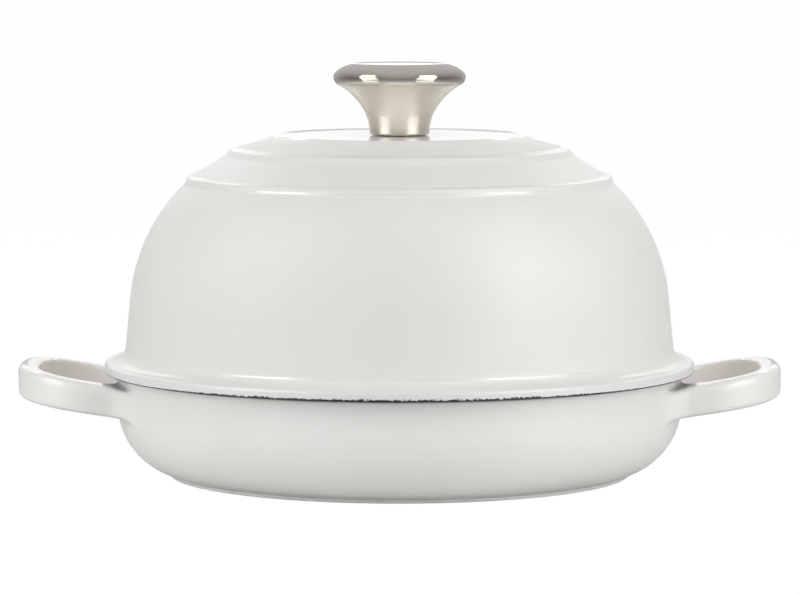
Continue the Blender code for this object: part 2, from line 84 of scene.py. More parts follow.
class Slot(Enum):
    """The record's material slots."""

    WHITE_ENAMEL = "white_enamel"
    BRUSHED_STEEL = "brushed_steel"
    POLISHED_STEEL = "polished_steel"
    PLAIN_STEEL = "plain_steel"


class Side(Enum):
    """Which side of the pan a loop is cast on, as the sign of its X coordinate."""

    RIGHT = 1
    LEFT = -1


# Outlines


@dataclass(frozen=True)
class Corner:
    """A corner of a turned outline in millimetres, with the radius that it is rounded to."""

    r: float
    z: float
    rounding: float = 0.0


@dataclass(frozen=True)
class Zone:
    """A stretch of a turned outline and the material slot that its surface wears."""

    points: Sequence[Point]
    slot: int = 0


def arc(centre: Point, reach: float, rise: float, start: float, end: float, step: float) -> list[Corner]:
    """Unrounded corners along an arc, or along an ellipse where the reach and the rise differ.

    Args:
        centre: Radius and height of the middle.
        reach: Semi-axis along the radius.
        rise: Semi-axis along the height.
        start: First angle, in radians.
        end: Last angle, in radians.
        step: Largest turn from one corner to the next, in radians.

    Returns:
        The corners from the first angle to the last.
    """
    count = max(1, math.ceil(abs(end - start) / step))
    corners = []
    for index in range(count + 1):
        angle = start + (end - start) * index / count
        corners.append(Corner(centre[0] + reach * math.cos(angle), centre[1] + rise * math.sin(angle)))
    return corners


def rounded(corners: Sequence[Corner], closed: bool = False, step: float = math.radians(7.0)) -> list[Point]:
    """Round the corners of an outline, each held within its two edges.

    Args:
        corners: The outline's corners in order.
        closed: Whether the last corner joins the first.
        step: Largest turn from one point of a rounding to the next, in radians.

    Returns:
        The points of the rounded outline.
    """
    count = len(corners)
    tangents = []
    for index, corner in enumerate(corners):
        before, after = corners[index - 1], corners[(index + 1) % count]
        if corner.rounding <= 0 or (not closed and index in (0, count - 1)):
            tangents.append(0.0)
            continue
        inwards = math.atan2(before.z - corner.z, before.r - corner.r)
        onwards = math.atan2(after.z - corner.z, after.r - corner.r)
        opening = abs((inwards - onwards + math.pi) % (2 * math.pi) - math.pi)
        tangents.append(corner.rounding / math.tan(opening / 2))
    limited = list(tangents)
    for index in range(count if closed else count - 1):
        following = (index + 1) % count
        here, there = corners[index], corners[following]
        length = math.dist((here.r, here.z), (there.r, there.z))
        wanted = tangents[index] + tangents[following]
        if wanted > EDGE_SHARE * length:
            share = EDGE_SHARE * length / wanted
            limited[index] = min(limited[index], tangents[index] * share)
            limited[following] = min(limited[following], tangents[following] * share)
    points = []
    for index, corner in enumerate(corners):
        neighbours = (corners[index - 1], corners[(index + 1) % count])
        points += rounded_corner(corner, neighbours, limited[index], step)
    return points


def rounded_corner(
    corner: Corner, neighbours: tuple[Corner, Corner], tangent: float, step: float
) -> list[Point]:
    """Replace one corner by an arc that touches both of its edges.

    Args:
        corner: The corner.
        neighbours: The corners before and after it.
        tangent: Distance from the corner to where the arc starts and ends.
        step: Largest turn from one point to the next, in radians.

    Returns:
        The corner itself where the distance is nothing, or the arc's points.
    """
    if tangent <= 0:
        return [(corner.r, corner.z)]
    ways = []
    for other in neighbours:
        length = math.dist((corner.r, corner.z), (other.r, other.z))
        ways.append(((other.r - corner.r) / length, (other.z - corner.z) / length))
    (in_r, in_z), (out_r, out_z) = ways
    opening = math.acos(max(-1.0, min(1.0, in_r * out_r + in_z * out_z)))
    if opening > math.pi - 1e-4:
        return [(corner.r, corner.z)]
    radius = tangent * math.tan(opening / 2)
    middle = (in_r + out_r, in_z + out_z)
    away = radius / math.sin(opening / 2) / math.hypot(*middle)
    centre = (corner.r + middle[0] * away, corner.z + middle[1] * away)
    start = math.atan2(corner.z + in_z * tangent - centre[1], corner.r + in_r * tangent - centre[0])
    end = math.atan2(corner.z + out_z * tangent - centre[1], corner.r + out_r * tangent - centre[0])
    sweep = (end - start + math.pi) % (2 * math.pi) - math.pi
    return [(found.r, found.z) for found in arc(centre, radius, radius, start, start + sweep, step)]


def held(points: Sequence[Point], hold: float = 0.25, longest: float = 5.0) -> list[Point]:
    """Add points near both ends of long straight stretches, so that these shade flat, and divide them evenly.

    Args:
        points: An open outline.
        hold: Distance of the added points from the ends, in millimetres.
        longest: Longest stretch that stays undivided, in millimetres.

    Returns:
        The outline with the added points.
    """
    made = [points[0]]
    for here, there in zip(points, points[1:]):
        length = math.dist(here, there)
        shares = []
        if length > 5 * hold:
            pieces = max(1, math.ceil(length / longest))
            evenly = [index / pieces for index in range(1, pieces)]
            shares = [hold / length, *evenly, 1 - hold / length]
        shares.append(1.0)
        for share in shares:
            made.append((here[0] + (there[0] - here[0]) * share, here[1] + (there[1] - here[1]) * share))
    return made


# Meshes


def ring_points(radii: Union[float, np.ndarray], height: float, angles: np.ndarray) -> np.ndarray:
    """Return points round the axis at one height, at one distance from it or one for each angle."""
    return np.column_stack((radii * np.cos(angles), radii * np.sin(angles), np.full(len(angles), height)))


class MeshParts:
    """Collects faces and the material slot of each, in millimetres, and turns them into one object."""

    def __init__(self) -> None:
        """Start with nothing."""
        self.points: list[tuple[float, float, float]] = []
        self.faces: list[tuple[int, ...]] = []
        self.slots: list[int] = []

    def add_points(self, points: Iterable[Sequence[float]]) -> range:
        """Add points.

        Args:
            points: X, Y and Z of each, in millimetres.

        Returns:
            The range of their numbers.
        """
        first = len(self.points)
        self.points += [tuple(float(part) for part in point) for point in points]
        return range(first, len(self.points))

    def add_face(self, corners: Sequence[int], slot: int = 0) -> None:
        """Add one face by the numbers of its points."""
        self.faces.append(tuple(corners))
        self.slots.append(slot)

    def turn(self, zones: Sequence[Zone], steps: int, closed: bool = False) -> None:
        """Spin an outline round the Z axis.

        Args:
            zones: The stretches of the outline in order, each joined to the next.
            steps: Number of facets round the axis.
            closed: Whether the last stretch joins the first.
        """
        outline = [(point, zone.slot) for zone in zones for point in zone.points]
        kept = [outline[0]]
        for point, slot in outline[1:]:
            if math.dist(point, kept[-1][0]) > SAME_POINT:
                kept.append((point, slot))
        if closed and math.dist(kept[0][0], kept[-1][0]) <= SAME_POINT:
            kept.pop()
        angles = 2 * np.pi * np.arange(steps) / steps
        rings = []
        for (radius, height), _ in kept:
            on_axis = radius < SAME_POINT
            ring = [(0.0, 0.0, height)] if on_axis else ring_points(radius, height, angles)
            rings.append(self.add_points(ring))
        for index in range(len(kept) if closed else len(kept) - 1):
            following = (index + 1) % len(kept)
            self.join_rings(rings[index], rings[following], kept[index][1])

    def join_rings(self, ring: range, after: range, slot: int = 0) -> None:
        """Fill the band between two rings, or between a ring and a single point.

        Args:
            ring: The first ring's points.
            after: The second ring's points.
            slot: The band's material slot.
        """
        steps = max(len(ring), len(after))
        for step in range(steps):
            turn = (step + 1) % steps
            if len(ring) == 1:
                self.add_face((ring[0], after[turn], after[step]), slot)
            elif len(after) == 1:
                self.add_face((ring[step], ring[turn], after[0]), slot)
            else:
                self.add_face((ring[step], ring[turn], after[turn], after[step]), slot)

    def finished(
        self, name: str, materials: Sequence[bpy.types.Material], sharp: float = 35.0
    ) -> bpy.types.Object:
        """Make a smooth shaded object of what was collected.

        Args:
            name: The piece's name.
            materials: The materials of its slots.
            sharp: Angle in degrees above which an edge is left crisp.

        Returns:
            The new object, in metres, linked to the scene.
        """
        mesh = bpy.data.meshes.new(name)
        places = np.array(self.points) * MM
        mesh.from_pydata(places.tolist(), [], self.faces)
        for finish in materials:
            mesh.materials.append(finish)
        mesh.polygons.foreach_set("material_index", self.slots)
        mesh.validate()
        outwards(mesh)
        mesh.shade_smooth()
        mesh.set_sharp_from_angle(angle=math.radians(sharp))
        made = bpy.data.objects.new(name, mesh)
        bpy.context.scene.collection.objects.link(made)
        return made


def outwards(mesh: bpy.types.Mesh) -> None:
    """Turn every face so that it looks out of its shell.

    Args:
        mesh: The mesh.
    """
    shape = bmesh.new()
    shape.from_mesh(mesh)
    bmesh.ops.recalc_face_normals(shape, faces=shape.faces)
    shape.to_mesh(mesh)
    shape.free()
    mesh.update()


def cut_away(target: bpy.types.Object, cutter: bpy.types.Object) -> None:
    """Take one object out of another for good, and remove the cutter.

    Args:
        target: The object that keeps its name.
        cutter: The object that is taken out of it.
    """
    step = target.modifiers.new("cut", "BOOLEAN")
    step.operation = "DIFFERENCE"
    step.solver = "EXACT"
    step.object = cutter
    bpy.context.view_layer.update()
    graph = bpy.context.evaluated_depsgraph_get()
    cut = bpy.data.meshes.new_from_object(target.evaluated_get(graph))
    target.modifiers.clear()
    whole = target.data
    target.data = cut
    cut.name = target.name
    bpy.data.meshes.remove(whole)
    bpy.data.objects.remove(cutter, do_unlink=True)


# Nodes


class Graph:
    """Adds and joins nodes in one node tree."""

    def __init__(self, tree: bpy.types.NodeTree) -> None:
        """Work on the tree."""
        self.tree = tree

    def feed(self, target: Socket, value: Any) -> None:
        """Give an input its value.

        Args:
            target: The input.
            value: Another node's output, which is joined to the input, or a plain value.
        """
        if isinstance(value, bpy.types.NodeSocket):
            self.tree.links.new(value, target)
        else:
            target.default_value = value

    def add(self, kind: str, inputs: Optional[Inputs] = None, **settings: Any) -> bpy.types.Node:
        """Add a node.

        Args:
            kind: The node's type without its ShaderNode beginning.
            inputs: Values or other nodes' outputs, by the name or number of the input.
            **settings: The node's own settings.

        Returns:
            The new node.
        """
        node = self.tree.nodes.new("ShaderNode" + kind)
        for name, value in settings.items():
            setattr(node, name, value)
        for name, value in (inputs or {}).items():
            self.feed(node.inputs[name], value)
        return node

    def group(self, tree: bpy.types.NodeTree, **inputs: Any) -> bpy.types.Node:
        """Add a shader node group with its inputs, in whose names a blank is written as an underscore."""
        sockets = {name.replace("_", " "): value for name, value in inputs.items()}
        return self.add("Group", sockets, node_tree=tree)

    def math(self, operation: str, *values: Any) -> Socket:
        """Return the output of a Math node that works on one to three values."""
        return self.add("Math", dict(enumerate(values)), operation=operation).outputs[0]

    def mapped(self, value: Socket, low: float, high: float, start: float = 0.0, end: float = 1.0) -> Socket:
        """Return a value eased from the range low to high to the range start to end, held at both ends."""
        sockets = {"Value": value, "From Min": low, "From Max": high, "To Min": start, "To Max": end}
        return self.add("MapRange", sockets, interpolation_type="SMOOTHSTEP").outputs["Result"]

    def mixed(self, share: Any, first: Any, second: Any) -> Socket:
        """Mix two colours.

        Args:
            share: The second colour's share.
            first: The first colour.
            second: The second colour.

        Returns:
            The mixed colour.
        """
        node = self.add("Mix", data_type="RGBA")
        for name, value in (("Factor_Float", share), ("A_Color", first), ("B_Color", second)):
            self.feed(next(socket for socket in node.inputs if socket.identifier == name), value)
        return next(socket for socket in node.outputs if socket.identifier == "Result_Color")

    def between(self, share: Any, first: Any, second: Any) -> Socket:
        """Return a number between two numbers, by the second one's share."""
        apart = self.math("SUBTRACT", second, first)
        return self.math("MULTIPLY_ADD", apart, share, first)

    def centred(self, value: Socket) -> Socket:
        """Return a value between 0 and 1 less a half, so that it swings about nothing."""
        return self.math("SUBTRACT", value, 0.5)

    def noise(self, place: Socket, scale: float, detail: float = 2.0, roughness: float = 0.5) -> Socket:
        """Return a noise between 0 and 1, with so many lumps in a metre and so many finer layers."""
        sockets = {"Vector": place, "Scale": scale, "Detail": detail, "Roughness": roughness}
        return self.add("TexNoise", sockets).outputs[0]

    def place(self) -> Socket:
        """Return the point on the object, in metres."""
        return self.add("TexCoord").outputs["Object"]

    def parts(self, vector: Socket) -> tuple[Socket, ...]:
        """Return the X, Y and Z of a vector."""
        return tuple(self.add("SeparateXYZ", {"Vector": vector}).outputs)

    def radius(self, place: Socket) -> Socket:
        """Find a point's distance from the Z axis.

        Args:
            place: The point.

        Returns:
            The distance.
        """
        across, along, _ = self.parts(place)
        squares = self.math("ADD", self.math("MULTIPLY", across, across), self.math("MULTIPLY", along, along))
        return self.math("SQRT", squares)


class Effects:
    """The shader node groups that several materials share, each built once."""

    def __init__(self) -> None:
        """Build all groups."""
        self.ripple = self.make_ripple()
        self.specks = self.make_specks()
        self.clouds = self.make_clouds()
        self.turned_grain = self.make_turned_grain()
        self.border = self.make_border()

    @staticmethod
    def start(
        name: str, inputs: dict[str, float], outputs: Sequence[str]
    ) -> tuple[Graph, bpy.types.NodeOutputs, bpy.types.NodeInputs]:
        """Open a new group with its sockets.

        Args:
            name: The group's name.
            inputs: Default values of its number inputs, by name. A Place input for the point comes first.
            outputs: Names of its number outputs.

        Returns:
            The graph, the sockets that give the inputs and the sockets that take the outputs.
        """
        tree = bpy.data.node_groups.new(name, "ShaderNodeTree")
        tree.interface.new_socket("Place", in_out="INPUT", socket_type="NodeSocketVector")
        for label, value in inputs.items():
            socket = tree.interface.new_socket(label, in_out="INPUT", socket_type="NodeSocketFloat")
            socket.default_value = value
        for label in outputs:
            tree.interface.new_socket(label, in_out="OUTPUT", socket_type="NodeSocketFloat")
        given = tree.nodes.new("NodeGroupInput")
        taken = tree.nodes.new("NodeGroupOutput")
        return Graph(tree), given.outputs, taken.inputs

    def make_ripple(self) -> bpy.types.NodeTree:
        """Build the uneven flow of molten enamel: slow waves of the casting and a fine orange peel.

        Returns:
            The group, which gives a height in metres.
        """
        sizes = {"Wave Height": 0.00003, "Peel Height": 0.000002}
        graph, given, taken = self.start("enamel_ripple", sizes, ["Height"])
        wave = graph.centred(graph.noise(given["Place"], 38.0, 1.0))
        peel = graph.centred(graph.noise(given["Place"], 620.0, 2.0))
        waves = graph.math("MULTIPLY", wave, given["Wave Height"])
        graph.feed(taken["Height"], graph.math("MULTIPLY_ADD", peel, given["Peel Height"], waves))
        return graph.tree

    def make_specks(self) -> bpy.types.NodeTree:
        """Build scattered pinholes and grains.

        Returns:
            The group, which gives a mask.
        """
        sizes = {"Density": 90.0, "Size": 0.012, "Share": 0.35}
        graph, given, taken = self.start("enamel_specks", sizes, ["Mask"])
        sockets = {"Vector": given["Place"], "Scale": given["Density"], "Randomness": 1.0}
        cells = graph.add("TexVoronoi", sockets, feature="F1").outputs
        chance = graph.add("SeparateColor", {"Color": cells["Color"]}).outputs[0]
        chosen = graph.math("LESS_THAN", chance, given["Share"])
        size = graph.math("MULTIPLY", given["Size"], graph.math("ADD", chance, 0.5))
        inside = graph.math("LESS_THAN", cells["Distance"], size)
        graph.feed(taken["Mask"], graph.math("MULTIPLY", inside, chosen))
        return graph.tree

    def make_clouds(self) -> bpy.types.NodeTree:
        """Build the soft patches of tone and gloss that handling and firing leave.

        Returns:
            The group, which gives a mask for the tone and one for the gloss.
        """
        graph, given, taken = self.start("soft_clouds", {"Scale": 14.0}, ["Tone", "Smear"])
        sockets = {"Vector": given["Place"], "Scale": given["Scale"]}
        slow = graph.add("TexNoise", {**sockets, "Detail": 3.0}).outputs[0]
        warped = graph.add("TexNoise", {**sockets, "Detail": 5.0, "Distortion": 1.6}).outputs[0]
        graph.feed(taken["Tone"], graph.mapped(slow, 0.35, 0.65))
        graph.feed(taken["Smear"], graph.mapped(warped, 0.5, 0.72))
        return graph.tree

    def make_turned_grain(self) -> bpy.types.NodeTree:
        """Build the fine rings that turning and brushing leave round the axis, and wider bands.

        Returns:
            The group, which gives two noises that are long round the axis.
        """
        graph, given, taken = self.start("turned_grain", {"Pitch": 4200.0, "Broken": 9.0}, ["Grain", "Bands"])
        across, along, up = graph.parts(given["Place"])
        radius = graph.radius(given["Place"])
        turn = graph.math("ARCTAN2", along, across)
        layers = {"Grain": (given["Pitch"], given["Broken"], 3.0, 0.65), "Bands": (500.0, 0.8, 2.0, 0.5)}
        for output, (pitch, broken, detail, roughness) in layers.items():
            spot = {0: graph.math("MULTIPLY", radius, pitch), 1: graph.math("MULTIPLY", up, pitch)}
            spot[2] = graph.math("MULTIPLY", turn, broken)
            place = graph.add("CombineXYZ", spot).outputs[0]
            graph.feed(taken[output], graph.noise(place, 1.0, detail, roughness))
        return graph.tree

    def make_border(self) -> bpy.types.NodeTree:
        """Build the ragged line where the white enamel ends and the black enamel under it shows, which on the
        lid's seam also paints the shade in the gap under the flange.

        The line goes from Thick at X = 0 to Thin at X = Reach, all in metres.

        Returns:
            The group, which gives a mask for the black below the height and one for the black above it.
        """
        sizes = {"Height": 0.045, "Thick": 0.0009, "Thin": 0.0001, "Reach": 0.11, "Ragged": 0.0006}
        graph, given, taken = self.start("enamel_border", sizes, ["Below", "Above"])
        across, _, up = graph.parts(given["Place"])
        aside = graph.math("DIVIDE", graph.math("ABSOLUTE", across), given["Reach"])
        share = graph.mapped(aside, 0.45, 1.0)
        band = graph.between(share, given["Thick"], given["Thin"])
        coarse = graph.centred(graph.noise(given["Place"], 70.0, 1.0))
        fine = graph.centred(graph.noise(given["Place"], 820.0, 3.0, 0.75))
        torn = graph.math("MULTIPLY_ADD", coarse, 0.35, graph.math("MULTIPLY", fine, 2.6))
        torn = graph.math("MULTIPLY", torn, given["Ragged"])
        torn = graph.math("MULTIPLY", torn, graph.between(share, 1.6, 0.35))
        limit = graph.math("ADD", band, torn)
        above = graph.math("SUBTRACT", up, given["Height"])
        depths = {"Below": graph.math("SUBTRACT", limit, above), "Above": graph.math("ADD", above, limit)}
        for output, depth in depths.items():
            graph.feed(taken[output], graph.mapped(depth, -0.00004, 0.00004))
        return graph.tree


class Surface:
    """A material in the making: its nodes, its shader and what the shader gets so far."""

    def __init__(self, name: str, effects: Optional[Effects] = None) -> None:
        """Start the material.

        Args:
            name: The material's name.
            effects: The shared node groups, for a material that has any of them.
        """
        self.effects = effects
        self.material = bpy.data.materials.new(name)
        self.material.use_nodes = True
        self.graph = Graph(self.material.node_tree)
        self.shader = self.graph.tree.nodes["Principled BSDF"]
        self.place = self.graph.place()
        self.colour: Optional[Socket] = None
        self.roughness: Optional[Socket] = None
        self.height: Optional[Socket] = None

    def effect(self, tree: bpy.types.NodeTree, **inputs: Any) -> bpy.types.NodeOutputs:
        """Place one of the shared node groups on the surface and return its outputs."""
        return self.graph.group(tree, Place=self.place, **inputs).outputs

    def tint(self, share: Socket, colour: Any) -> None:
        """Lay a share of another colour over the surface."""
        self.colour = self.graph.mixed(share, self.colour, colour)

    def gloss(self, share: Socket, roughness: float) -> None:
        """Give a share of the surface another roughness."""
        self.roughness = self.graph.between(share, self.roughness, roughness)

    def lift(self, share: Socket, height: Any) -> None:
        """Lift a share of the surface by a height in metres."""
        self.height = self.graph.math("MULTIPLY_ADD", share, height, self.height)

    def finished(self, **constants: float) -> bpy.types.Material:
        """Join colour, roughness and height to the shader.

        Args:
            **constants: What is the same all over, by the shader's socket, with an underscore for a blank.

        Returns:
            The material.
        """
        inputs = self.shader.inputs
        for name, value in constants.items():
            inputs[name.replace("_", " ")].default_value = value
        bump = self.graph.add("Bump", {"Height": self.height, "Distance": 1.0, "Strength": 1.0})
        self.graph.feed(inputs["Base Color"], self.colour)
        self.graph.feed(inputs["Roughness"], self.roughness)
        self.graph.feed(inputs["Normal"], bump.outputs["Normal"])
        return self.material


# Enamel


class Trim:
    """Something that lies over the plain white enamel in one place."""

    def add(self, surface: Surface) -> None:
        """Lay it over a surface.

        Args:
            surface: The material in the making.
        """
        raise NotImplementedError


@dataclass(frozen=True)
class Pool(Trim):
    """A band between two heights in millimetres, where the enamel pooled and kept more gloss.

    One that fades has its gloss at the front and back of the ring, and none at its left and right ends.
    """

    low: float
    high: float
    roughness: float
    fades: bool = False
    softness: float = 0.12
    fade_start: float = 0.63
    fade_end: float = 0.70

    def add(self, surface: Surface) -> None:
        """Lay the gloss over a surface.

        Args:
            surface: The material in the making.
        """
        graph = surface.graph
        across, _, up = graph.parts(surface.place)
        rise = graph.mapped(up, (self.low - self.softness) * MM, (self.low + self.softness) * MM)
        fall = graph.mapped(up, (self.high - self.softness) * MM, (self.high + self.softness) * MM, 1.0, 0.0)
        share = graph.math("MULTIPLY", rise, fall)
        if self.fades:
            aside = graph.math("DIVIDE", graph.math("ABSOLUTE", across), graph.radius(surface.place))
            middle = graph.mapped(aside, self.fade_start, self.fade_end, 1.0, 0.0)
            share = graph.math("MULTIPLY", share, middle)
        surface.gloss(share, self.roughness)


@dataclass(frozen=True)
class GrainedBand(Trim):
    """Thin, grainy and slightly blue enamel on the flange's upright face. Sizes are in millimetres."""

    low: float
    high: float
    radius: float
    radius_softness: float = 0.35
    low_softness: float = 0.2
    high_softness: float = 0.3
    blue: Colour = (0.70, 0.722, 0.75, 1.0)
    white: Colour = WHITE
    roughness: float = 0.38
    grain_height: float = 0.04

    def add(self, surface: Surface) -> None:
        """Lay the band over a surface.

        Args:
            surface: The material in the making.
        """
        graph = surface.graph
        up = graph.parts(surface.place)[2]
        radius = graph.radius(surface.place)
        outer = graph.mapped(radius, (self.radius - self.radius_softness) * MM, self.radius * MM)
        rise = graph.mapped(up, (self.low - self.low_softness) * MM, self.low * MM)
        fall = graph.mapped(up, (self.high - self.high_softness) * MM, self.high * MM, 1.0, 0.0)
        band = graph.math("MULTIPLY", outer, graph.math("MULTIPLY", rise, fall))
        grain = graph.noise(surface.place, 1500.0, 3.0, 0.7)
        patch = graph.mapped(graph.noise(surface.place, 240.0, 2.0), 0.4, 0.62)
        grained = graph.mixed(graph.mapped(grain, 0.35, 0.65), self.blue, self.white)
        surface.tint(graph.math("MULTIPLY", band, graph.between(patch, 0.55, 1.0)), grained)
        surface.gloss(band, self.roughness)
        surface.lift(band, graph.math("MULTIPLY", graph.centred(grain), self.grain_height * MM))


class Edge(Enum):
    """On which side of a height the white enamel gives way to black."""

    BELOW = "Below"
    ABOVE = "Above"


@dataclass(frozen=True)
class Border(Trim):
    """The ragged line where the white enamel gives way to black. Sizes are in millimetres. On the lid's seam
    the line is partly real black enamel and partly painted shade of the gap under the flange, widest at the
    front and back.
    """

    edge: Edge
    height: float
    thick: float = 0.95
    thin: float = 0.5
    ragged: float = 0.75
    sunk: float = 0.06
    black: Colour = (0.012, 0.012, 0.013, 1.0)
    roughness: float = 0.42

    def add(self, surface: Surface) -> None:
        """Lay the black over a surface.

        Args:
            surface: The material in the making.
        """
        sizes = {"Height": self.height, "Thick": self.thick, "Thin": self.thin, "Ragged": self.ragged}
        sizes = {name: size * MM for name, size in sizes.items()}
        border = surface.effect(surface.effects.border, **sizes)
        bare = border[self.edge.value]
        surface.tint(bare, self.black)
        surface.gloss(bare, self.roughness)
        surface.lift(bare, -self.sunk * MM)


@dataclass(frozen=True)
class PaintedUndersideShade(Trim):
    """Painted shade: a darker tint where the surface looks down, as if less light reached it."""

    share: float = 0.5
    # painted shade colour for surfaces that look down
    lean: Colour = (0.46, 0.43, 0.40, 1.0)

    def add(self, surface: Surface) -> None:
        """Lay the painted shade over a surface.

        Args:
            surface: The material in the making.
        """
        graph = surface.graph
        facing_up = graph.parts(graph.add("NewGeometry").outputs["Normal"])[2]
        # painted shade: darkest where the normal points straight down
        surface.tint(graph.mapped(facing_up, -0.95, -0.3, self.share, 0.0), self.lean)


@dataclass(frozen=True)
class PaintedHoleShade(Trim):
    """Painted shade and warm bounce light inside a loop's hole: a warmer tint on the faces that look into the
    hole, most at its outer end and least near the pan's wall. Sizes are in millimetres.
    """

    middle: float
    pan_radius: float
    near: float = 3.0
    far: float = 24.0
    near_share: float = 0.3
    # painted shade and bounce colour inside the hole
    hole_shade: Colour = (0.80, 0.765, 0.705, 1.0)

    def add(self, surface: Surface) -> None:
        """Lay the painted shade over a surface.

        Args:
            surface: The material in the making.
        """
        graph = surface.graph
        across, along, _ = graph.parts(surface.place)
        middle = graph.math("MULTIPLY", graph.math("SIGN", across), self.middle * MM)
        way = {0: graph.math("SUBTRACT", middle, across), 1: graph.math("MULTIPLY", along, -1.0)}
        towards = graph.add("VectorMath", {0: graph.add("CombineXYZ", way).outputs[0]}, operation="NORMALIZE")
        facing = graph.add("NewGeometry").outputs["Normal"]
        turned = graph.add("VectorMath", {0: towards.outputs[0], 1: facing}, operation="DOT_PRODUCT")
        inside = graph.mapped(turned.outputs["Value"], 0.25, 0.85)
        start, end = (self.pan_radius + self.near) * MM, (self.pan_radius + self.far) * MM
        # painted shade, weaker near the pan's wall and full at the hole's outer end
        outer_shade = graph.mapped(graph.math("ABSOLUTE", across), start, end, self.near_share, 1.0)
        surface.tint(graph.math("MULTIPLY", inside, outer_shade), self.hole_shade)


@dataclass(frozen=True)
class LoopGloss(Trim):
    """The gloss of a loop, satin at its root and glossiest along its top. Sizes are in millimetres.

    The top is a plane that slopes outwards from its height on the pan's axis.
    """

    pan_radius: float
    top_at_axis: float
    slope: float
    root_start: float = -1.0
    root_end: float = 11.0
    root_roughness: float = 0.55
    top_start: float = -6.5
    top_end: float = -3.5
    top_depth: float = 1.0
    top_full_depth: float = 0.4
    top_roughness: float = 0.12

    def add(self, surface: Surface) -> None:
        """Lay the gloss over a surface.

        Args:
            surface: The material in the making.
        """
        graph = surface.graph
        across, _, up = graph.parts(surface.place)
        aside = graph.math("ABSOLUTE", across)
        start, end = (self.pan_radius + self.root_start) * MM, (self.pan_radius + self.root_end) * MM
        surface.gloss(graph.mapped(aside, start, end, 1.0, 0.0), self.root_roughness)
        top = graph.math("MULTIPLY_ADD", aside, self.slope, self.top_at_axis * MM)
        near = graph.mapped(graph.math("SUBTRACT", up, top), -self.top_depth * MM, -self.top_full_depth * MM)
        start, end = (self.pan_radius + self.top_start) * MM, (self.pan_radius + self.top_end) * MM
        free = graph.mapped(aside, start, end)
        surface.gloss(graph.math("MULTIPLY", near, free), self.top_roughness)


@dataclass(frozen=True)
class WhiteEnamel:
    """Satin white enamel with slow waves, soft clouds and a few pinholes, and its trims in their order."""

    name: str
    trims: tuple[Trim, ...] = ()
    satin: float = 0.55
    smear: float = 0.04
    white: Colour = WHITE
    shaded: Colour = (0.78, 0.766, 0.742, 1.0)
    pinhole: Colour = (0.25, 0.22, 0.19, 1.0)
    pinhole_share: float = 0.4

    def material(self, effects: Effects) -> bpy.types.Material:
        """Build the material.

        Args:
            effects: The shared node groups.

        Returns:
            The material.
        """
        surface = Surface(self.name, effects)
        graph = surface.graph
        ripple = surface.effect(effects.ripple, Wave_Height=0.00005, Peel_Height=0.0000022)
        clouds = surface.effect(effects.clouds, Scale=16.0)
        specks = surface.effect(effects.specks, Density=42.0, Size=0.0085, Share=0.3)
        surface.height = ripple["Height"]
        surface.roughness = graph.between(clouds["Smear"], self.satin, self.satin + self.smear)
        surface.colour = graph.mixed(clouds["Tone"], self.white, self.shaded)
        surface.tint(graph.math("MULTIPLY", specks["Mask"], self.pinhole_share), self.pinhole)
        for trim in self.trims:
            trim.add(surface)
        return surface.finished(IOR=1.52)


@dataclass(frozen=True)
class BlackEnamel:
    """Satin black enamel with a fine grain, as inside the pan and the dome."""

    name: str = "black_enamel"
    black: Colour = (0.011, 0.011, 0.012, 1.0)
    worn: Colour = (0.028, 0.027, 0.026, 1.0)
    grain: Colour = (0.14, 0.14, 0.145, 1.0)
    grain_share: float = 0.35
    smooth: float = 0.36
    smear: float = 0.14

    def material(self, effects: Effects) -> bpy.types.Material:
        """Build the material.

        Args:
            effects: The shared node groups.

        Returns:
            The material.
        """
        surface = Surface(self.name, effects)
        graph = surface.graph
        ripple = surface.effect(effects.ripple, Wave_Height=0.00004, Peel_Height=0.000022)
        clouds = surface.effect(effects.clouds, Scale=22.0)
        specks = surface.effect(effects.specks, Density=260.0, Size=0.07, Share=0.35)
        surface.height = ripple["Height"]
        surface.roughness = graph.between(clouds["Smear"], self.smooth, self.smooth + self.smear)
        surface.colour = graph.mixed(clouds["Tone"], self.black, self.worn)
        surface.tint(graph.math("MULTIPLY", specks["Mask"], self.grain_share), self.grain)
        return surface.finished(IOR=1.5)


# Steel


@dataclass(frozen=True)
class TurnedSteel:
    """Steel that was turned, then brushed or polished round its axis. The groove is in millimetres."""

    name: str
    bright: Colour
    darker: Colour
    smooth: float
    rough: float
    stretch: float
    groove: float
    pitch: float = 4200.0
    smear: float = 0.15

    def material(self, effects: Effects) -> bpy.types.Material:
        """Build the material.

        Args:
            effects: The shared node groups.

        Returns:
            The material.
        """
        surface = Surface(self.name, effects)
        graph = surface.graph
        turned = surface.effect(effects.turned_grain, Pitch=self.pitch)
        clouds = surface.effect(effects.clouds, Scale=60.0)
        surface.height = graph.math("MULTIPLY", graph.centred(turned["Grain"]), self.groove * MM)
        bands = graph.mapped(turned["Bands"], 0.3, 0.7, 0.0, 1.0 - self.smear)
        worn = graph.math("ADD", bands, graph.between(clouds["Smear"], 0.0, self.smear))
        surface.roughness = graph.between(worn, self.smooth, self.rough)
        surface.colour = graph.mixed(graph.mapped(turned["Grain"], 0.3, 0.7), self.darker, self.bright)
        tangent = graph.add("Tangent", direction_type="RADIAL", axis="Z")
        graph.feed(surface.shader.inputs["Tangent"], tangent.outputs["Tangent"])
        return surface.finished(Metallic=1.0, Anisotropic=self.stretch, Anisotropic_Rotation=0.25)


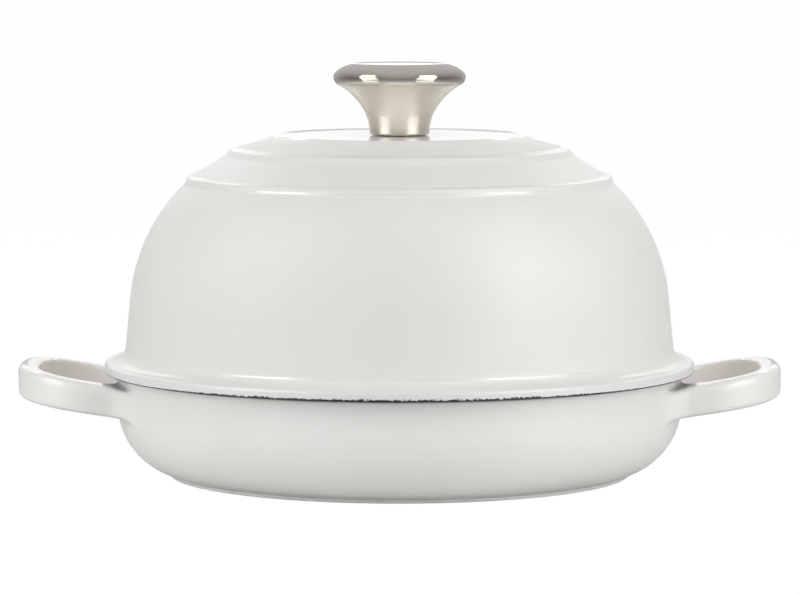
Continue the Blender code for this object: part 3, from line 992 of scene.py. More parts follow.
@dataclass(frozen=True)
class PlatedSteel:
    """Bright plated steel with small dents, as on the screw, its washer and the bush."""

    name: str = "plated_steel"
    bright: Colour = (0.55, 0.55, 0.56, 1.0)
    dull: Colour = (0.40, 0.395, 0.38, 1.0)
    smooth: float = 0.22
    rough: float = 0.38

    def material(self, effects: Effects) -> bpy.types.Material:
        """Build the material.

        Args:
            effects: The shared node groups.

        Returns:
            The material.
        """
        surface = Surface(self.name, effects)
        graph = surface.graph
        ripple = surface.effect(effects.ripple, Wave_Height=0.00001, Peel_Height=0.000008)
        clouds = surface.effect(effects.clouds, Scale=160.0)
        surface.height = ripple["Height"]
        surface.roughness = graph.between(clouds["Tone"], self.smooth, self.rough)
        surface.colour = graph.mixed(clouds["Smear"], self.bright, self.dull)
        return surface.finished(Metallic=1.0)


class Finishes:
    """Every material of the oven, each built once. The pan's and loops' enamel is painted a shade lighter than
    the lid's, in place of more light on the base.
    """

    def __init__(self, lid: "DomeLid", pan: "Pan") -> None:
        """Build them.

        Args:
            lid: The lid, whose flange carries the ragged line.
            pan: The pan, whose rim carries the other one.
        """
        effects = Effects()
        flange_top = lid.seat + lid.flange_thickness
        grained = GrainedBand(lid.seat + 0.4, flange_top - 0.7, lid.flange_radius)
        # partly painted shade: the black enamel line is widened to take in the gap's shade under the flange
        seam_with_gap_shade = Border(Edge.BELOW, lid.seat)
        self.lid_white = WhiteEnamel("white_enamel_lid", (*lid.pools(), grained, seam_with_gap_shade)).material(effects)
        # painted light: the lid's enamel made lighter for the pan and loops, in place of more light on the base
        painted_lighter = {"white": (0.85, 0.84, 0.821, 1.0), "shaded": (0.83, 0.817, 0.795, 1.0)}
        rim_line = Border(Edge.ABOVE, pan.rim_height - 0.15, thick=0.1, ragged=0.3)
        self.pan_white = WhiteEnamel("white_enamel_pan", (rim_line,), **painted_lighter).material(effects)
        loop = SideLoop(pan, Side.RIGHT)
        slope = math.tan(loop.tilt)
        loop_trims = (
            PaintedUndersideShade(),
            PaintedHoleShade(pan.radius + loop.hole_offset, pan.radius),
            LoopGloss(pan.radius, pan.rim_height - loop.below_rim - pan.radius * slope, slope),
        )
        self.loop_white = WhiteEnamel("white_enamel_loop", loop_trims, satin=0.28, **painted_lighter).material(effects)
        self.black = BlackEnamel().material(effects)
        self.brushed = TurnedSteel(
            "brushed_steel",
            bright=(0.93, 0.885, 0.80, 1.0),
            darker=(0.86, 0.815, 0.73, 1.0),
            smooth=0.35,
            rough=0.43,
            stretch=0.65,
            groove=0.003,
        ).material(effects)
        self.polished = TurnedSteel(
            "polished_steel",
            bright=(0.71, 0.675, 0.61, 1.0),
            darker=(0.67, 0.635, 0.57, 1.0),
            smooth=0.06,
            rough=0.09,
            stretch=0.3,
            groove=0.0001,
        ).material(effects)
        self.plated = PlatedSteel().material(effects)


# The oven


@dataclass
class Pan:
    """The shallow cast pan. Sizes are in millimetres."""

    rim_height: float
    radius: float = 121.7
    corner_radius: float = 29.5
    rim_rounding: float = 1.0
    wall: float = 4.0
    foot_reach: float = 7.3
    foot_height: float = 1.5
    foot_rounding: float = 0.5
    foot_hollow: float = 0.35
    ridge_count: int = 4
    ridge_first_radius: float = 36.0
    ridge_spacing: float = 15.0
    ridge_width: float = 2.4
    ridge_flank: float = 1.6
    ridge_height: float = 1.3
    ridge_foot_rounding: float = 1.2
    ridge_edge_rounding: float = 0.8
    bend_share: float = 0.99
    turn_steps: int = 288
    corner_step: float = math.radians(2.5)

    @property
    def corner_centre(self) -> Point:
        """Radius and height of the middle of the wall's lower bend."""
        height = self.foot_height + math.sqrt(self.corner_radius**2 - self.foot_reach**2)
        return self.radius - self.corner_radius, height

    def wall_radius(self, height: np.ndarray) -> np.ndarray:
        """Find the radius of the pan's outside at or above the foot.

        Args:
            height: The heights.

        Returns:
            One radius for each height.
        """
        centre_radius, centre_height = self.corner_centre
        drop = np.clip(centre_height - height, 0.0, self.corner_radius * self.bend_share)
        return centre_radius + np.sqrt(self.corner_radius**2 - drop**2)

    def outside(self) -> list[Point]:
        """Lay out the outside.

        Returns:
            The outline from the middle of the foot up to the rim.
        """
        centre_radius, centre_height = self.corner_centre
        foot = math.atan2(self.foot_height - centre_height, self.foot_reach)
        foot_radius = centre_radius + self.foot_reach
        corners = [Corner(0.0, 0.0), Corner(foot_radius, 0.0, self.foot_rounding)]
        bend = arc(self.corner_centre, self.corner_radius, self.corner_radius, foot, 0.0, self.corner_step)
        bend[0] = Corner(bend[0].r, bend[0].z, self.foot_hollow)
        corners += bend
        corners += [Corner(self.radius, self.rim_height, self.rim_rounding)]
        corners += [Corner(self.radius - self.wall / 2, self.rim_height)]
        return held(rounded(corners))

    def inside(self) -> list[Point]:
        """Lay out the inside.

        Returns:
            The outline from the rim down to the middle of the floor, with its ridges.
        """
        bend_radius = self.corner_radius - self.wall
        floor = self.corner_centre[1] - bend_radius
        corners = [Corner(self.radius - self.wall / 2, self.rim_height)]
        corners += [Corner(self.radius - self.wall, self.rim_height, self.rim_rounding)]
        corners += arc(self.corner_centre, bend_radius, bend_radius, 0.0, -math.pi / 2, self.corner_step)
        for ridge in reversed(range(self.ridge_count)):
            middle = self.ridge_first_radius + ridge * self.ridge_spacing
            half_top = self.ridge_width / 2
            half_foot = half_top + self.ridge_flank
            top = floor + self.ridge_height
            corners += [
                Corner(middle + half_foot, floor, self.ridge_foot_rounding),
                Corner(middle + half_top, top, self.ridge_edge_rounding),
                Corner(middle - half_top, top, self.ridge_edge_rounding),
                Corner(middle - half_foot, floor, self.ridge_foot_rounding),
            ]
        corners.append(Corner(0.0, floor))
        return held(rounded(corners))

    def build(self, finishes: Finishes) -> bpy.types.Object:
        """Make the pan with both loops in one casting.

        Args:
            finishes: The oven's materials.

        Returns:
            The pan, which rides on the base.
        """
        parts = MeshParts()
        parts.turn([Zone(self.outside(), 0), Zone(self.inside(), 1)], self.turn_steps)
        for side in Side:
            SideLoop(self, side).add_to(parts)
        made = parts.finished("cast_pan", [finishes.pan_white, finishes.black, finishes.loop_white])
        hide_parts("base_pan")
        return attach(made, Body.BASE.value)


@dataclass(frozen=True)
class Station:
    """One section of a loop in plan, with its two edges as radius and angle and its gap to the pan's wall."""

    hole: Point
    outer: Point
    gap: float


@dataclass
class SideLoop:
    """A loop that is cast in one with the pan and runs into its wall in fillets. Sizes are in millimetres."""

    pan: Pan
    side: Side
    hole_offset: float = 16.6
    hole_reach: float = 17.3
    hole_root_reach: float = 19.5
    hole_half_width: float = 31.5
    hole_squareness: float = 2.6
    end_width: float = 8.9
    side_width: float = 10.8
    grip_offset: float = 7.8
    grip_squareness: float = 2.42
    thickness: float = 12.7
    rounding: float = 4.0
    under_rounding: float = 2.2
    hole_rounding: float = 1.5
    rounding_share: float = 0.48
    tilt: float = math.radians(10.5)
    under_tilt: float = math.radians(8.4)
    below_rim: float = 3.4
    flank_fillet: float = 15.0
    top_fillet: float = 2.2
    hole_fillet: float = 3.0
    under_fillet: float = 2.8
    root_reach: float = 14.5
    root_follow: float = 4.0
    root_sunk: float = 0.05
    hole_end_angle: float = math.radians(172.0)
    slot: int = 2
    bar_points: int = 700
    flank_points: int = 300
    hole_points: int = 500
    free_stations: int = 56
    root_stations: int = 13
    fillet_stations: int = 15
    corner_steps: int = 8
    flat_steps: int = 8

    def top(self, across: np.ndarray) -> np.ndarray:
        """Return the height of the loop's top at a distance from the middle of the pan."""
        return self.pan.rim_height - self.below_rim + (across - self.pan.radius) * math.tan(self.tilt)

    def underside(self, across: np.ndarray) -> np.ndarray:
        """Return the height of the loop's underside at a distance from the middle of the pan."""
        at_wall = self.pan.rim_height - self.below_rim - self.thickness
        return at_wall + (across - self.pan.radius) * math.tan(self.under_tilt)

    @staticmethod
    def squared_ellipse(
        centre: float, reach: float, half_width: float, squareness: float, angles: np.ndarray
    ) -> np.ndarray:
        """Return points in plan on a squared ellipse whose middle is on the X axis.

        Args:
            centre: X of its middle.
            reach: Semi-axis along X.
            half_width: Semi-axis along Y.
            squareness: 2 gives an ellipse, more is squarer.
            angles: The angles of the points, in radians.

        Returns:
            One row of X and Y for each angle.
        """
        along, across = np.cos(angles), np.sin(angles)
        x = centre + reach * np.sign(along) * np.abs(along) ** (2 / squareness)
        y = half_width * np.abs(across) ** (2 / squareness)
        return np.column_stack((x, y))

    def outer_path(self) -> np.ndarray:
        """Lay out the outer edge in plan.

        Returns:
            Rows of X and Y, from the loop's end to where it touches the wall.
        """
        centre = self.pan.radius + self.grip_offset
        reach = self.pan.radius + self.hole_offset + self.hole_reach + self.end_width - centre
        half_width = self.hole_half_width + self.side_width
        angles = np.linspace(0.0, np.pi / 2, self.bar_points)
        bar = self.squared_ellipse(centre, reach, half_width, self.grip_squareness, angles)
        fillet_y = half_width + self.flank_fillet
        fillet_x = math.sqrt((self.pan.radius + self.flank_fillet) ** 2 - fillet_y**2)
        sweep = math.pi / 2 - math.atan2(fillet_y, fillet_x)
        turn = -np.pi / 2 - np.linspace(0.0, sweep, self.flank_points)
        flank = np.column_stack((np.cos(turn), np.sin(turn))) * self.flank_fillet + (fillet_x, fillet_y)
        return np.vstack((bar, flank))

    def hole_path(self) -> np.ndarray:
        """Lay out the hole's edge in plan.

        Returns:
            Rows of X and Y, from the loop's end round towards the wall and a little into it.
        """
        centre = self.pan.radius + self.hole_offset
        front = np.linspace(0.0, np.pi / 2, self.hole_points)
        back = np.linspace(np.pi / 2, self.hole_end_angle, self.hole_points)
        sizes = (self.hole_half_width, self.hole_squareness)
        far = self.squared_ellipse(centre, self.hole_reach, *sizes, front)
        near = self.squared_ellipse(centre, self.hole_root_reach, *sizes, back)
        return np.vstack((far, near[1:]))

    @staticmethod
    def crossing(path: np.ndarray, radius: float) -> Point:
        """Find where a path comes in to a radius, as that radius and the angle.

        Args:
            path: Rows of X and Y, which come towards the axis from their farthest point on.
            radius: The radius to find.

        Returns:
            The radius and the angle.
        """
        radii = np.hypot(path[:, 0], path[:, 1])
        start = int(np.argmax(radii))
        angles = np.arctan2(path[start:, 1], path[start:, 0])
        return radius, float(np.interp(-radius, -radii[start:], angles))

    @staticmethod
    def spread(path: np.ndarray, shares: np.ndarray, last_radius: float) -> list[Point]:
        """Place points evenly along the stretch of a path outside a radius.

        Args:
            path: Rows of X and Y.
            shares: Shares of the stretch's length.
            last_radius: The radius at which the stretch ends.

        Returns:
            Radius and angle of each point.
        """
        radii = np.hypot(path[:, 0], path[:, 1])
        start = int(np.argmax(radii))
        end = start + int(np.argmax(radii[start:] < last_radius))
        kept = path[:end]
        steps = np.hypot(*np.diff(kept, axis=0).T)
        lengths = np.concatenate(([0.0], np.cumsum(steps)))
        x = np.interp(shares * lengths[-1], lengths, kept[:, 0])
        y = np.interp(shares * lengths[-1], lengths, kept[:, 1])
        return list(zip(np.hypot(x, y).tolist(), np.arctan2(y, x).tolist()))

    def stations(self) -> list[Station]:
        """Place the sections of one half of the loop.

        Returns:
            The sections from the loop's end to the middle of the wall's thickness.
        """
        outer_path, hole_path = self.outer_path(), self.hole_path()
        root = self.pan.radius + self.root_reach
        shares = np.linspace(0.0, 1.0, self.free_stations, endpoint=False)
        outers = self.spread(outer_path, shares, root)
        holes = self.spread(hole_path, shares, root)
        made = [Station(hole, outer, self.root_reach) for hole, outer in zip(holes, outers)]
        largest = max(self.top_fillet, self.hole_fillet, self.under_fillet)
        gaps = list(np.linspace(self.root_reach, largest, self.root_stations, endpoint=False))
        turns = np.linspace(0.0, np.pi / 2, self.fillet_stations)
        gaps += [largest * (1 - math.sin(turn)) for turn in turns]
        for gap in gaps:
            radius = self.pan.radius + gap
            made.append(Station(self.crossing(hole_path, radius), self.crossing(outer_path, radius), gap))
        last = made[-1]
        for buried in (-self.root_sunk, -self.pan.wall / 2):
            radius = self.pan.radius + buried
            made.append(Station((radius, last.hole[1]), (radius, last.outer[1]), buried))
        return made

    @staticmethod
    def swell(fillet: float, gap: float) -> float:
        """Return how far a fillet reaches past a section's edge at a distance from the wall."""
        rest = fillet - min(max(gap, 0.0), fillet)
        return fillet - math.sqrt(fillet**2 - rest**2)

    def section(self, station: Station) -> np.ndarray:
        """Place the rounded outline of one section in space.

        Args:
            station: Where the section is.

        Returns:
            One row of X, Y and Z for each point, for the half of the loop with positive Y on the right side.
        """
        (hole_radius, hole_angle), (outer_radius, outer_angle) = station.hole, station.outer
        start = np.array((hole_radius * math.cos(hole_angle), hole_radius * math.sin(hole_angle)))
        end = np.array((outer_radius * math.cos(outer_angle), outer_radius * math.sin(outer_angle)))
        width = float(np.hypot(*(end - start)))
        first = -self.swell(self.hole_fillet, station.gap)
        largest = self.rounding_share * (width - first)
        wanted = (self.rounding, self.hole_rounding, self.hole_rounding, self.under_rounding)
        roundings = tuple(min(rounding, largest) for rounding in wanted)
        across, lift, level = self.section_shape(first, width, roundings)
        share = across / width
        radius = hole_radius + (outer_radius - hole_radius) * share
        angle = hole_angle + (outer_angle - hole_angle) * share
        x = radius * np.cos(angle)
        top = self.top(x) + self.swell(self.top_fillet, station.gap)
        bottom = self.underside(x) - self.swell(self.under_fillet, station.gap)
        z = bottom + (top - bottom) * level + lift
        follow = min(1.0, max(0.0, 1.0 - station.gap / self.root_follow))
        radius = radius + (self.pan.wall_radius(z) - self.pan.radius) * follow
        return np.column_stack((radius * np.cos(angle), radius * np.sin(angle), z))

    def section_shape(
        self, first: float, last: float, roundings: Sequence[float]
    ) -> tuple[np.ndarray, np.ndarray, np.ndarray]:
        """Lay out a rounded rectangle.

        Args:
            first: Where it starts across the loop.
            last: Where it ends.
            roundings: Its corners' radii: outer top, top at the hole, underside at the hole and outer
                underside.

        Returns:
            For each point, its place across the loop, its lift above or below the level that it is counted
            from, and that level, 1 for the top, 0 for the underside, or between them.
        """
        corners = []
        for quarter in range(4):
            rounding = roundings[quarter]
            middle = last - rounding if quarter in (0, 3) else first + rounding
            level = 1.0 if quarter in (0, 1) else 0.0
            inset = -rounding if quarter in (0, 1) else rounding
            for step in range(self.corner_steps + 1):
                angle = math.pi / 2 * (quarter + step / self.corner_steps)
                across, lift = middle + rounding * math.cos(angle), inset + rounding * math.sin(angle)
                corners.append((across, lift, level))
        points = []
        per_corner = self.corner_steps + 1
        for index, corner in enumerate(corners):
            points.append(corner)
            if index % per_corner == per_corner - 1:
                after = corners[(index + 1) % len(corners)]
                for step in range(1, self.flat_steps):
                    share = 0.5 - 0.5 * math.cos(math.pi * step / self.flat_steps)
                    points.append(tuple(a + (b - a) * share for a, b in zip(corner, after)))
        across, lift, level = np.array(points).T
        return across, lift, level

    def add_to(self, parts: MeshParts) -> None:
        """Add the loop's faces to a casting.

        Args:
            parts: The casting that is being built.
        """
        half = [self.section(station) for station in self.stations()]
        flip = np.array((1.0, -1.0, 1.0))
        sections = [section * flip for section in reversed(half[1:])] + half
        turned_over = np.array((float(self.side.value), 1.0, 1.0))
        rings = [parts.add_points(section * turned_over) for section in sections]
        for ring, after in zip(rings, rings[1:]):
            parts.join_rings(ring, after, self.slot)
        parts.add_face(rings[0], self.slot)
        parts.add_face(rings[-1], self.slot)


@dataclass(frozen=True)
class Ledge:
    """A step that runs round the dome.

    It has the angle of its edge round the dome's arc, and how far it stands out there, where and how deep it
    starts, how deep its foot is, and whether the enamel on its drop kept its gloss.
    """

    angle: float
    proud: float
    run: float
    start_sink: float
    foot_sink: float
    glazed_drop: bool = False


@dataclass
class DomeLid:
    """The domed lid with its top plate, two ledges, flange and lip. Sizes are in millimetres."""

    seat: float
    pan_radius: float = 121.7
    pan_wall: float = 4.0
    screw_hole_radius: float = 3.5
    screw_hole_rounding: float = 0.3
    screw_hole_seam: float = 1.0
    flange_overhang: float = 5.5
    flange_thickness: float = 4.3
    flange_fillet: float = 6.5
    flange_top_rounding: float = 1.6
    flange_lower_rounding: float = 0.5
    lip_clearance: float = 1.2
    lip_drop: float = 2.8
    lip_wall: float = 1.8
    lip_rounding: float = 0.6
    lip_root_rounding: float = 0.4
    wall: float = 4.5
    draft: float = math.radians(5.5)
    dome_start: float = 31.65
    dome_radius: float = 78.8
    dome_step: float = math.radians(1.2)
    dome_top_rounding: float = 6.0
    plate_angle: float = math.radians(78.2)
    plate_rise: float = 0.1
    plate_rounding: float = 1.2
    plate_rim_rise: float = 0.4
    plate_rim_width: float = 1.1
    plate_rim_slope: float = 0.6
    plate_rim_foot_rounding: float = 0.7
    plate_rim_rounding: float = 0.5
    plate_slope_run: float = 4.8
    plate_slope_sink: float = 0.95
    ledges: tuple[Ledge, ...] = (
        Ledge(math.radians(63.8), proud=0.8, run=7.0, start_sink=0.45, foot_sink=0.65),
        Ledge(math.radians(48.1), proud=1.3, run=5.1, start_sink=0.35, foot_sink=0.1, glazed_drop=True),
    )
    ledge_drop_run: float = 3.4
    ledge_foot_run: float = 5.0
    ledge_edge_rounding: float = 1.3
    ledge_foot_rounding: float = 2.0
    ledge_start_rounding: float = 14.0
    gloss_on_flange: Span = (-1.6, 1.6)
    gloss_in_fillet: Span = (3.3, 4.1)
    gloss_on_edge: Span = (-0.3, 0.9)
    gloss_on_drop: Span = (0.28, 0.46)
    gloss_on_plate: Span = (-0.1, 10.0)
    turn_steps: int = 288

    @property
    def flange_radius(self) -> float:
        """Radius of the flange."""
        return self.pan_radius + self.flange_overhang

    @property
    def lip_radius(self) -> float:
        """Radius of the lip's outside."""
        return self.pan_radius - self.pan_wall - self.lip_clearance

    @property
    def inner_radius(self) -> float:
        """Radius of the lid's inside at the seat."""
        return self.lip_radius - self.lip_wall

    @property
    def outer_radius(self) -> float:
        """Radius of the wall's outside where it would reach the seat."""
        return self.inner_radius + self.wall / math.cos(self.draft)

    @property
    def dome_centre(self) -> Point:
        """Find the middle of the dome's arc.

        Returns:
            Its radius and height.
        """
        reach = self.dome_start * math.tan(self.draft) + self.dome_radius * math.cos(self.draft)
        height = self.seat + self.dome_start - self.dome_radius * math.sin(self.draft)
        return self.outer_radius - reach, height

    def on_dome(self, angle: float, proud: float, rounding: float = 0.0) -> Corner:
        """Place a corner on the dome's arc or near it.

        Args:
            angle: Its angle round the arc, from level, in radians.
            proud: How far it stands out of the arc.
            rounding: The radius that it is rounded to.

        Returns:
            The corner.
        """
        distance = self.dome_radius + proud
        centre_radius, centre_height = self.dome_centre
        radius = centre_radius + distance * math.cos(angle)
        return Corner(radius, centre_height + distance * math.sin(angle), rounding)

    def pools(self) -> tuple[Pool, ...]:
        """List where the enamel pooled and kept more gloss.

        Returns:
            A band on the flange, in its fillet, at each ledge's edge, on the glazed drops and on the plate.
        """
        flange_top = self.seat + self.flange_thickness
        low, high = self.gloss_on_flange
        pools = [Pool(flange_top + low, flange_top + high, roughness=0.3)]
        low, high = self.gloss_in_fillet
        pools.append(Pool(flange_top + low, flange_top + high, roughness=0.08, fades=True))
        for ledge in self.ledges:
            edge = self.on_dome(ledge.angle, ledge.proud).z
            foot = self.on_dome(ledge.angle - self.ledge_drop_run / self.dome_radius, -ledge.foot_sink).z
            drop = edge - foot
            low, high = self.gloss_on_edge
            pools.append(Pool(edge + low, edge + high, roughness=0.27))
            if ledge.glazed_drop:
                low, high = self.gloss_on_drop
                pools.append(Pool(foot + low * drop, foot + high * drop, roughness=0.07, fades=True))
        low, high = self.gloss_on_plate
        pools.append(Pool(self.plate_height + low, self.plate_height + high, roughness=0.1))
        return tuple(pools)

    @property
    def plate_height(self) -> float:
        """Height of the top plate."""
        return self.on_dome(self.plate_angle, 0.0).z + self.plate_rise

    @property
    def underside_height(self) -> float:
        """Height of the flat under the top plate."""
        return self.on_dome(self.plate_angle, 0.0).z - self.wall

    def outside(self) -> list[Point]:
        """Lay out the outside.

        Returns:
            The outline from the plate's hole down to the middle of the seat.
        """
        plate = self.on_dome(self.plate_angle, self.plate_rise)
        corners = [Corner(self.screw_hole_radius, self.plate_height - self.screw_hole_seam)]
        corners.append(Corner(self.screw_hole_radius, self.plate_height, self.screw_hole_rounding))
        rim_inside = plate.r - self.plate_rim_width
        rim_foot = rim_inside - self.plate_rim_slope
        rim_top = self.plate_height + self.plate_rim_rise
        corners.append(Corner(rim_foot, self.plate_height, self.plate_rim_foot_rounding))
        corners.append(Corner(rim_inside, rim_top, self.plate_rim_rounding))
        corners.append(Corner(plate.r, rim_top, self.plate_rounding))
        slope_angle = self.plate_angle - self.plate_slope_run / self.dome_radius
        corners.append(self.on_dome(slope_angle, -self.plate_slope_sink, self.ledge_start_rounding))
        for ledge in self.ledges:
            start = ledge.angle + ledge.run / self.dome_radius
            foot = ledge.angle - self.ledge_drop_run / self.dome_radius
            corners.append(self.on_dome(start, -ledge.start_sink, self.ledge_start_rounding))
            corners.append(self.on_dome(ledge.angle, ledge.proud, self.ledge_edge_rounding))
            corners.append(self.on_dome(foot, -ledge.foot_sink, self.ledge_foot_rounding))
        fade = (self.ledge_drop_run + self.ledge_foot_run) / self.dome_radius
        first = self.ledges[-1].angle - fade
        reach = self.dome_radius
        corners += arc(self.dome_centre, reach, reach, first, self.draft, self.dome_step)
        wall_foot = self.outer_radius - self.flange_thickness * math.tan(self.draft)
        flange_top = self.seat + self.flange_thickness
        corners += [
            Corner(wall_foot, flange_top, self.flange_fillet),
            Corner(self.flange_radius, flange_top, self.flange_top_rounding),
            Corner(self.flange_radius, self.seat, self.flange_lower_rounding),
            Corner(self.pan_radius, self.seat),
        ]
        return held(rounded(corners))

    def inside(self) -> list[Point]:
        """Lay out the inside.

        Returns:
            The outline from the seat and its lip up to the plate's hole.
        """
        radius = self.dome_radius - self.wall
        lip_foot = self.inner_radius + self.lip_drop * math.tan(self.draft)
        top = math.asin((self.underside_height - self.dome_centre[1]) / radius)
        corners = [
            Corner(self.pan_radius, self.seat),
            Corner(self.lip_radius, self.seat, self.lip_root_rounding),
            Corner(self.lip_radius, self.seat - self.lip_drop, self.lip_rounding),
            Corner(lip_foot, self.seat - self.lip_drop, self.lip_rounding),
        ]
        dome = arc(self.dome_centre, radius, radius, self.draft, top, self.dome_step)
        dome[-1] = Corner(dome[-1].r, dome[-1].z, self.dome_top_rounding)
        corners += dome
        corners.append(Corner(self.screw_hole_radius, self.underside_height, self.lip_root_rounding))
        corners.append(Corner(self.screw_hole_radius, self.plate_height - self.screw_hole_seam))
        return held(rounded(corners))

    def build(self, finishes: Finishes) -> bpy.types.Object:
        """Make the lid's casting.

        Args:
            finishes: The oven's materials.

        Returns:
            The casting, which rides on the lid.
        """
        parts = MeshParts()
        parts.turn([Zone(self.outside(), 0), Zone(self.inside(), 1)], self.turn_steps, closed=True)
        made = parts.finished("cast_lid", [finishes.lid_white, finishes.black])
        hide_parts("dome_lid")
        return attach(made, Body.LID.value)


@dataclass
class Knob:
    """The hollow, flared knob and its polished top. Sizes are in millimetres."""

    foot: float
    cap_seat: float
    screw_hole_radius: float = 3.5
    stem_radius: float = 12.9
    stem_height: float = 4.4
    stem_rounding: float = 1.5
    stem_blend: float = 3.0
    stem_blend_start: float = 0.45
    stem_blend_rounding: float = 24.0
    wall: float = 1.4
    floor: float = 3.0
    floor_rounding: float = 1.0
    flare_radius: float = 27.8
    flare_drop: float = 3.0
    rim_height: float = 2.4
    rim_clearance: float = 0.3
    shelf_gap: float = 0.02
    shelf_rounding: float = 0.1
    edge_rounding: float = 0.3
    cap_radius: float = 28.6
    cap_edge_inset: float = 1.15
    rim_drop: float = 0.5
    skirt_height: float = 3.0
    skirt_reach: float = 3.0
    cap_wall: float = 1.5
    crown_reach: float = 17.5
    crown_rise: float = 6.8
    crown_rounding: float = 0.7
    flat_radius: float = 20.9
    flat_edge: float = 0.4
    flat_rounding: float = 0.2
    dish_depth: float = 0.25
    dish_slope: float = 1.6
    dish_rounding: float = 2.0
    turn_steps: int = 192
    fine_step: float = math.radians(2.0)

    @property
    def seat_radius(self) -> float:
        """Radius at which the cap stands on the flare."""
        return self.cap_radius - self.cap_edge_inset

    @property
    def flare_centre(self) -> Point:
        """Radius and height of the middle of the flare's arc."""
        rise = self.stem_height + self.flare_drop
        return self.stem_radius + math.sqrt(self.flare_radius**2 - rise**2), self.foot - self.flare_drop

    def flare(self, first: float, last: float, offset: float = 0.0) -> list[Corner]:
        """Lay out the flare, or a curve inside it.

        Args:
            first: Radius at which they start.
            last: Radius at which they end.
            offset: Distance inwards from the flare's outside.

        Returns:
            The corners in order.
        """
        reach = self.flare_radius + offset
        start = math.acos((first - self.flare_centre[0]) / reach)
        end = math.acos((last - self.flare_centre[0]) / reach)
        return arc(self.flare_centre, reach, reach, start, end, self.fine_step)

    def body_outline(self) -> list[Point]:
        """Lay out the stem and flare.

        Returns:
            Their closed outline.
        """
        rim_radius = self.cap_radius - self.cap_wall - self.rim_clearance
        rim_inside = rim_radius - self.wall
        stem_inside = self.stem_radius - self.wall
        outer = self.flare(self.stem_radius, self.seat_radius)
        shelf = self.cap_seat - self.shelf_gap
        outer[-1] = Corner(outer[-1].r, shelf, self.shelf_rounding)
        corners = [Corner(self.screw_hole_radius, self.foot)]
        corners.append(Corner(self.stem_radius, self.foot, self.stem_rounding))
        blend_foot = outer[0].z - self.stem_blend * self.stem_blend_start
        corners.append(Corner(self.stem_radius, blend_foot, self.stem_blend_rounding))
        corners += [corner for corner in outer if corner.z > outer[0].z + self.stem_blend]
        corners += [
            Corner(rim_radius, shelf),
            Corner(rim_radius, shelf + self.rim_height, self.edge_rounding),
            Corner(rim_inside, shelf + self.rim_height, self.edge_rounding),
        ]
        corners += self.flare(rim_inside, stem_inside, self.wall)
        corners.append(Corner(stem_inside, self.foot + self.floor, self.floor_rounding))
        corners.append(Corner(self.screw_hole_radius, self.foot + self.floor))
        return held(rounded(corners, closed=True))

    def cap_outline(self) -> list[Point]:
        """Lay out the cap.

        Returns:
            Its outline from the middle over the edge and back inside.
        """
        centre = (self.cap_radius - self.crown_reach, self.cap_seat + self.skirt_height)
        flat = math.acos((self.flat_radius - centre[0]) / self.crown_reach)
        top = centre[1] + self.crown_rise * math.sin(flat)
        inside = (self.crown_reach - self.cap_wall, self.crown_rise - self.cap_wall)
        crown = arc(centre, self.crown_reach, self.crown_rise, flat, 0.0, self.fine_step)
        crown[0] = Corner(crown[0].r, crown[0].z, self.crown_rounding)
        end = math.acos(1 - self.cap_edge_inset / self.skirt_reach)
        skirt_rise = self.skirt_height / math.sin(end)
        skirt_centre = (self.cap_radius - self.skirt_reach, centre[1])
        skirt = arc(skirt_centre, self.skirt_reach, skirt_rise, 0.0, -end, 4 * self.fine_step)
        skirt[-1] = Corner(self.seat_radius, self.cap_seat, self.shelf_rounding)
        dish = self.flat_radius - self.dish_slope
        corners = [Corner(0.0, top - self.dish_depth)]
        corners.append(Corner(dish, top - self.dish_depth, self.dish_rounding))
        corners.append(Corner(self.flat_radius - self.flat_edge, top, self.flat_rounding))
        corners += crown + skirt[1:]
        corners.append(Corner(self.cap_radius - self.cap_wall, self.cap_seat, self.flat_rounding))
        corners += arc(centre, *inside, 0.0, flat, self.fine_step)
        corners.append(Corner(0.0, centre[1] + inside[1] * math.sin(flat)))
        return held(rounded(corners))

    def build(self, finishes: Finishes) -> list[bpy.types.Object]:
        """Make the knob's two pieces.

        Args:
            finishes: The oven's materials.

        Returns:
            The flared body and the cap, which ride on the lid.
        """
        shell = MeshParts()
        shell.turn([Zone(self.body_outline())], self.turn_steps, closed=True)
        flared = shell.finished("knob_flare", [finishes.brushed])
        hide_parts("knob_body")
        crown = MeshParts()
        crown.turn([Zone(self.cap_outline())], self.turn_steps)
        top = crown.finished("knob_top", [finishes.polished])
        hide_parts("knob_cap")
        return [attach(piece, Body.LID.value) for piece in (flared, top)]


